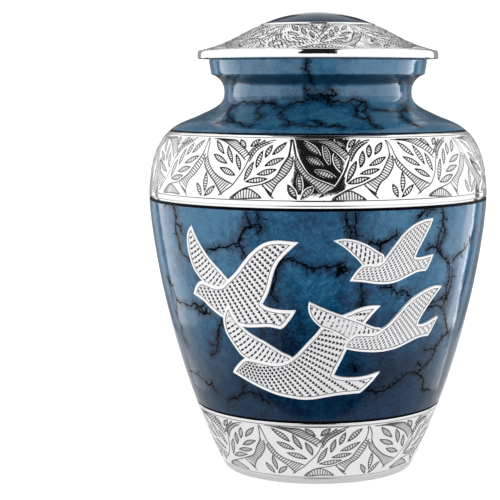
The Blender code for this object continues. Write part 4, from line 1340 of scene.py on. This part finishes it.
def domeOutline(rows):
    # Arc from the dome's edge to the top: radius of the ball = (r^2 + h^2) / 2h
    edgeRadius, edgeHeight = lidValues["domeEdge"]
    rise = lidValues["height"] - edgeHeight
    ball = (edgeRadius ** 2 + rise ** 2) / (2 * rise)
    radius = edgeRadius * np.linspace(1.0, 0.0, rows + 1)
    return np.column_stack([radius, lidValues["height"] - ball + np.sqrt(ball ** 2 - radius ** 2)])


def lidInside(bottom):
    # From the middle of the hollow, down the bore, round the spigot's tip and up to the rim
    value = lidValues
    spigot = urnShape["waist"][0] - vesselValues["wall"] - value["spigotClearance"]
    bore, tip = spigot - value["wall"], bottom - value["spigotLength"]
    hollow = lifted(joined(slopeOutline(16), domeOutline(10)), -value["wall"])[::-1]
    corner = float(np.interp(bore, hollow[:, 0], hollow[:, 1]))
    hollow = hollow[(hollow[:, 0] > 0.5) & (hollow[:, 0] < bore - value["round"])]
    bevel, roundness = value["spigotBevel"], value["round"]
    return joined((0.0, value["height"] - value["wall"]), hollow, (bore, corner), (bore, tip + bevel),
                  (bore + bevel, tip), (spigot - roundness, tip), (spigot, tip + roundness), (spigot, bottom))


def lidOutside(bottom):
    # Rim, the bed under the engraved slope, and the bead, as far as the dome
    value = lidValues
    foot, handles = [[(value["rimRadius"] + out, bottom + up) for out, up in value[key]]
                     for key in ("rimFoot", "rimHandles")]
    turns = np.radians(np.linspace(0.0, 180.0, 9))
    half = np.column_stack([1.0 - np.cos(turns), np.sin(turns)])
    bead = value["slopeTop"] + value["bead"] * half * (-1.0, 1.0)
    return joined(foot, bezier(foot[-1], *handles, value["rimTop"], 8),
                  (value["slopeBottom"][0], value["slopeBottom"][1] - value["ledge"]),
                  lifted(slopeOutline(24), -value["bed"]), bead,
                  (value["domeEdge"][0] - value["domeFoot"][0], value["domeEdge"][1] - value["domeFoot"][1]))


def buildLid():
    value = lidValues
    bottom = urnShape["collarTop"][1] + value["gap"]
    inside, outside, dome = lidInside(bottom), lidOutside(bottom), domeOutline(28)
    dome = dome[dome[:, 0] < value["domeEdge"][0] - value["domeStart"]]
    profile = joined(inside, outside, dome)
    slots = np.zeros(len(profile), dtype=int)
    slots[:len(inside) - 1] = 1
    slots[-len(dome) - 1:] = 2
    zero = np.zeros(len(profile))
    finishes = [brightMetal, castMetal, domeEnamel]
    made = turned("lid_shell", profile, value["columns"], finishes, value["sharp"],
                  {"crackBlackAndCutShade": zero, "engraved": zero}, slots)
    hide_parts("lid")
    return made


def buildLidSlope():
    # The engraved skin of the slope, one closed ring
    value = lidValues
    slope = slopeOutline(80)
    length = outlineData(slope)[0][-1]
    plain = value["plainBelow"] + value["plainAbove"]
    rows = np.linspace(value["plainBelow"], length - value["plainAbove"],
                       int(round((length - plain) / value["rowStep"])))
    front, back = ringAngles(value["frontHalf"], value["fineStep"], value["coarseStep"])
    columns = np.concatenate([front, back[1:-1]])
    below, above = np.array(value["belowRows"]), length - np.array(value["aboveRows"])
    scroll = dict(scrollValues, **value["scroll"])
    rings = [(spot % length, half, depth) for spot, half, depth in value["rings"]]
    return reliefBand("lid_leaf_slope", columns, rows, below, above, value, slope, scroll, rings,
                      True, slopeMetal)


lidShell, lidSlope = buildLid(), buildLidSlope()

engravedPieces = upperPieces + lowerPieces + dovePieces + [lidShell, lidSlope]
for piece in [vessel, bellyPiece, neckPiece] + engravedPieces:
    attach(piece, "root")
for piece in [vessel] + engravedPieces:
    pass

print("stage and light")

# Distances are metres from here on. The sky is white but for a dark gap, whose edges are given low and high
skyValues = {
    "strength": 1.2, "behind": 1.0, "gap": 0.01, "climb": (0.1, 0.7), "soft": 0.018,
    "left": (-0.31, -0.21), "right": (0.31, 0.27), "past": (-0.1, 0.16), "widen": (-0.09, 0.13),
    "front": (0.28, 0.36, 1.0, 0.0), "above": (0.045, 0.07),
    "backDepth": (0.3, 0.5), "backHeight": (0.25, 0.45),
}
floorValues = {
    "half": 6.0, "drop": 0.0002, "colour": (0.86, 0.86, 0.87, 1.0), "patch": (0.88, 0.88, 0.885, 1.0),
    "patchSize": (6.0, 2.0), "patchStep": (0.3, 0.7), "roughness": 0.9, "sun": 2.0,
    "mirrorAway": (0.14, 0.50), "mirrorNear": (0.088, 0.10, 1.0, 0.0), "mirrorSide": (0.035, 0.115),
    "glow": (0.3, 2.2, 0.84, 1.15), "mirrorDark": 0.02,
}
# A card is (side, near, far, radiance), a flag is (side, near, far, grey, top), and the back flag is
# (inner, outer, depth, grey, top)
cardValues = {
    "profile": ((0.13, 0.0), (0.163, 0.035), (0.19, 0.07), (0.19, 0.30)), "share": (0.25, 0.85, 1.0),
    "cards": ((-1, -0.21, -0.11, 1.4), (-1, -0.11, -0.014, 1.3), (-1, -0.014, 0.022, 1.8),
              (-1, 0.022, 0.080, 2.3), (1, -0.33, -0.16, 1.2), (1, -0.16, -0.04, 1.0), (1, -0.04, 0.02, 1.5),
              (1, 0.02, 0.048, 3.2), (1, 0.050, 0.060, 8.0)),
    "neckAngles": (-101.0, -66.0, -33.0, 33.0, 66.0, 101.0), "neckDistance": 0.30, "neckWidth": 0.178,
    "neckHeight": (0.05, 0.25), "neckRadiance": 2.2, "flagX": 0.193,
    "flags": ((-1, 0.082, 0.117, 0.30, 0.196), (-1, 0.191, 0.6, 0.34, 0.46), (1, 0.062, 0.10, 0.16, 0.196),
              (1, 0.16, 0.6, 0.34, 0.46)),
    "backFlag": (0.045, 0.193, 0.6, 0.12, 0.5),
}
cameraValues = {"place": (0.0, -0.816, 0.2048), "down": 6.32, "sensor": 36.0, "lens": 110.8, "shift": -0.136}


def intoScene(name, data):
    made = bpy.data.objects.new(name, data)
    bpy.context.scene.collection.objects.link(made)
    return made


def onlyOn(light, pieces):
    # A light that reaches the given objects alone
    receivers = bpy.data.collections.new(light.name + "_receivers")
    for piece in pieces:
        receivers.objects.link(piece)
    light.light_linking.receiver_collection = receivers


def quad(name, corners, material):
    mesh = bpy.data.meshes.new(name)
    mesh.from_pydata(corners, [], [(0, 1, 2, 3)])
    mesh.materials.append(material)
    made = intoScene(name, mesh)
    made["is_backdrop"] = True
    return made


def buildFloor():
    value, half = floorValues, floorValues["half"]
    square = [(-half, -half, 0.0), (half, -half, 0.0), (half, half, 0.0), (-half, half, 0.0)]
    made, tree, shader = nodesOf("stage_floor")
    patch = ramp(noise(place(tree), *value["patchSize"]), *value["patchStep"])
    linked(mixed(tree, patch, value["colour"], value["patch"]), shader.inputs["Base Color"])
    shader.inputs["Roughness"].default_value = value["roughness"]
    floor = quad("stage_floor", square, made)
    floor.location = (0.0, 0.0, -value["drop"])
    lamp = bpy.data.lights.new("floor_sun", 'SUN')
    lamp.energy = value["sun"]
    lamp.use_shadow = False
    sun = intoScene("floor_sun", lamp)
    sun.visible_glossy = False
    onlyOn(sun, [floor])
    glossyPlane("stage_floor_glow", square, floorInMirrors)


def buildSky():
    # White all round but for a dark gap in front, which narrows upwards and widens again past the zenith
    value = skyValues
    world = bpy.data.worlds.new("studio")
    bpy.context.scene.world = world
    world.use_nodes = True
    tree = world.node_tree
    x, y, z = axes(Field(tree, tree.nodes.new("ShaderNodeTexCoord").outputs["Generated"]))
    past = ramp(y, *value["past"])
    left = ramp(z, *value["climb"], *value["left"]) + past * value["widen"][0]
    right = ramp(z, *value["climb"], *value["right"]) + past * value["widen"][1]
    soft = value["soft"]
    sides = ramp(x - left, -soft, soft) * ramp(right - x, -soft, soft)
    gap = sides * (ramp(y, *value["front"]) * ramp(z, *value["above"]))
    behind = ramp(y, *value["backDepth"]) * ramp(z, *value["backHeight"])
    sky = ramp(behind, 0.0, 1.0, value["strength"], value["behind"])
    back = tree.nodes["Background"]
    linked(ramp(gap, 0.0, 1.0, sky, value["gap"]), back.inputs["Strength"])
    back.inputs["Color"].default_value = (1.0, 1.0, 1.0, 1.0)


def card(name, centre, facing, width, height, radiance, pieces):
    # A light that only mirrors in the given pieces; its power is radiance * pi * area
    lamp = bpy.data.lights.new(name, 'AREA')
    lamp.shape = 'RECTANGLE'
    lamp.size, lamp.size_y = width, height
    lamp.energy = radiance * pi * width * height
    made = intoScene(name, lamp)
    made.location = centre
    made.rotation_euler = Vector(facing).to_track_quat('-Z', 'Y').to_euler()
    made.visible_camera = False
    made.visible_diffuse = False
    onlyOn(made, pieces)


def buildCards():
    # Bright cards beside the urn, which the enamel mirrors as pale strips, and others for the neck alone
    value = cardValues
    outline = value["profile"]
    for part, ((footX, low), (topX, high)) in enumerate(zip(outline[:-1], outline[1:])):
        across, middle = 0.5 * (footX + topX), 0.5 * (low + high)
        for number, (side, near, far, radiance) in enumerate(value["cards"]):
            card("card_%d_%d" % (part, number), (side * across, 0.5 * (near + far), middle),
                 (side * (low - high), 0.0, topX - footX), far - near, hypot(topX - footX, high - low),
                 radiance * value["share"][part], [bellyPiece, neckPiece])
    low, high = value["neckHeight"]
    away = value["neckDistance"]
    for number, azimuth in enumerate(value["neckAngles"]):
        x, y = sin(radians(azimuth)), -cos(radians(azimuth))
        card("neck_card_%d" % number, (away * x, away * y, 0.5 * (low + high)), (-x, -y, 0.0),
             value["neckWidth"], high - low, value["neckRadiance"], [neckPiece])


def glossyPlane(name, corners, strength):
    # A plane seen only in reflections; its brightness is a number, or a function of the material's tree
    made, tree, shader = nodesOf(name)
    shader.inputs["Base Color"].default_value = (0.0, 0.0, 0.0, 1.0)
    shader.inputs["Specular IOR Level"].default_value = 0.0
    shader.inputs["Emission Color"].default_value = (1.0, 1.0, 1.0, 1.0)
    linked(strength(tree) if callable(strength) else strength, shader.inputs["Emission Strength"])
    plane = quad(name, corners, made)
    for kind in ("camera", "diffuse", "shadow", "transmission"):
        setattr(plane, "visible_" + kind, False)


def floorInMirrors(tree):
    # The floor as reflections see it: dark close in front of the urn, grey round it, white far away
    value = floorValues
    x, y, _ = axes(place(tree))
    forward = y * -1.0
    clear = ramp(forward, *value["mirrorAway"]).larger(ramp(abs(x), *value["mirrorSide"]))
    clear = clear.larger(ramp(forward, *value["mirrorNear"]))
    distance = (x * x + y * y).combined('SQRT')
    return ramp(clear, 0.0, 1.0, value["mirrorDark"], ramp(distance, *value["glow"]))


def upright(name, start, end, high, grey):
    # A glossy plane that stands on the floor between two places
    glossyPlane(name, [start + (0.0,), end + (0.0,), end + (high,), start + (high,)], grey)


def buildFlags():
    # Grey flags behind the cards draw the dark rims along the silhouette
    value = cardValues
    for number, (side, near, far, grey, high) in enumerate(value["flags"]):
        x = side * value["flagX"]
        upright("stage_flag_%d" % number, (x, near), (x, far), high, grey)
    inner, outer, y, grey, high = value["backFlag"]
    for side in (-1, 1):
        upright("stage_back_flag_%d" % (side + 1), (side * inner, y), (side * outer, y), high, grey)


def buildCamera():
    value = cameraValues
    data = bpy.data.cameras.new("camera")
    data.sensor_width = value["sensor"]
    data.lens = value["lens"]
    data.shift_x = value["shift"]
    camera = intoScene("camera", data)
    camera.location = value["place"]
    camera.rotation_euler = (radians(90.0 - value["down"]), 0.0, 0.0)
    bpy.context.scene.camera = camera


buildFloor()
buildSky()
buildCards()
buildFlags()
buildCamera()
bpy.context.scene.view_settings.view_transform = 'Standard'

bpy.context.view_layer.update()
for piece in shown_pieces():
    print(piece.name, sum(len(face.vertices) - 2 for face in piece.data.polygons))
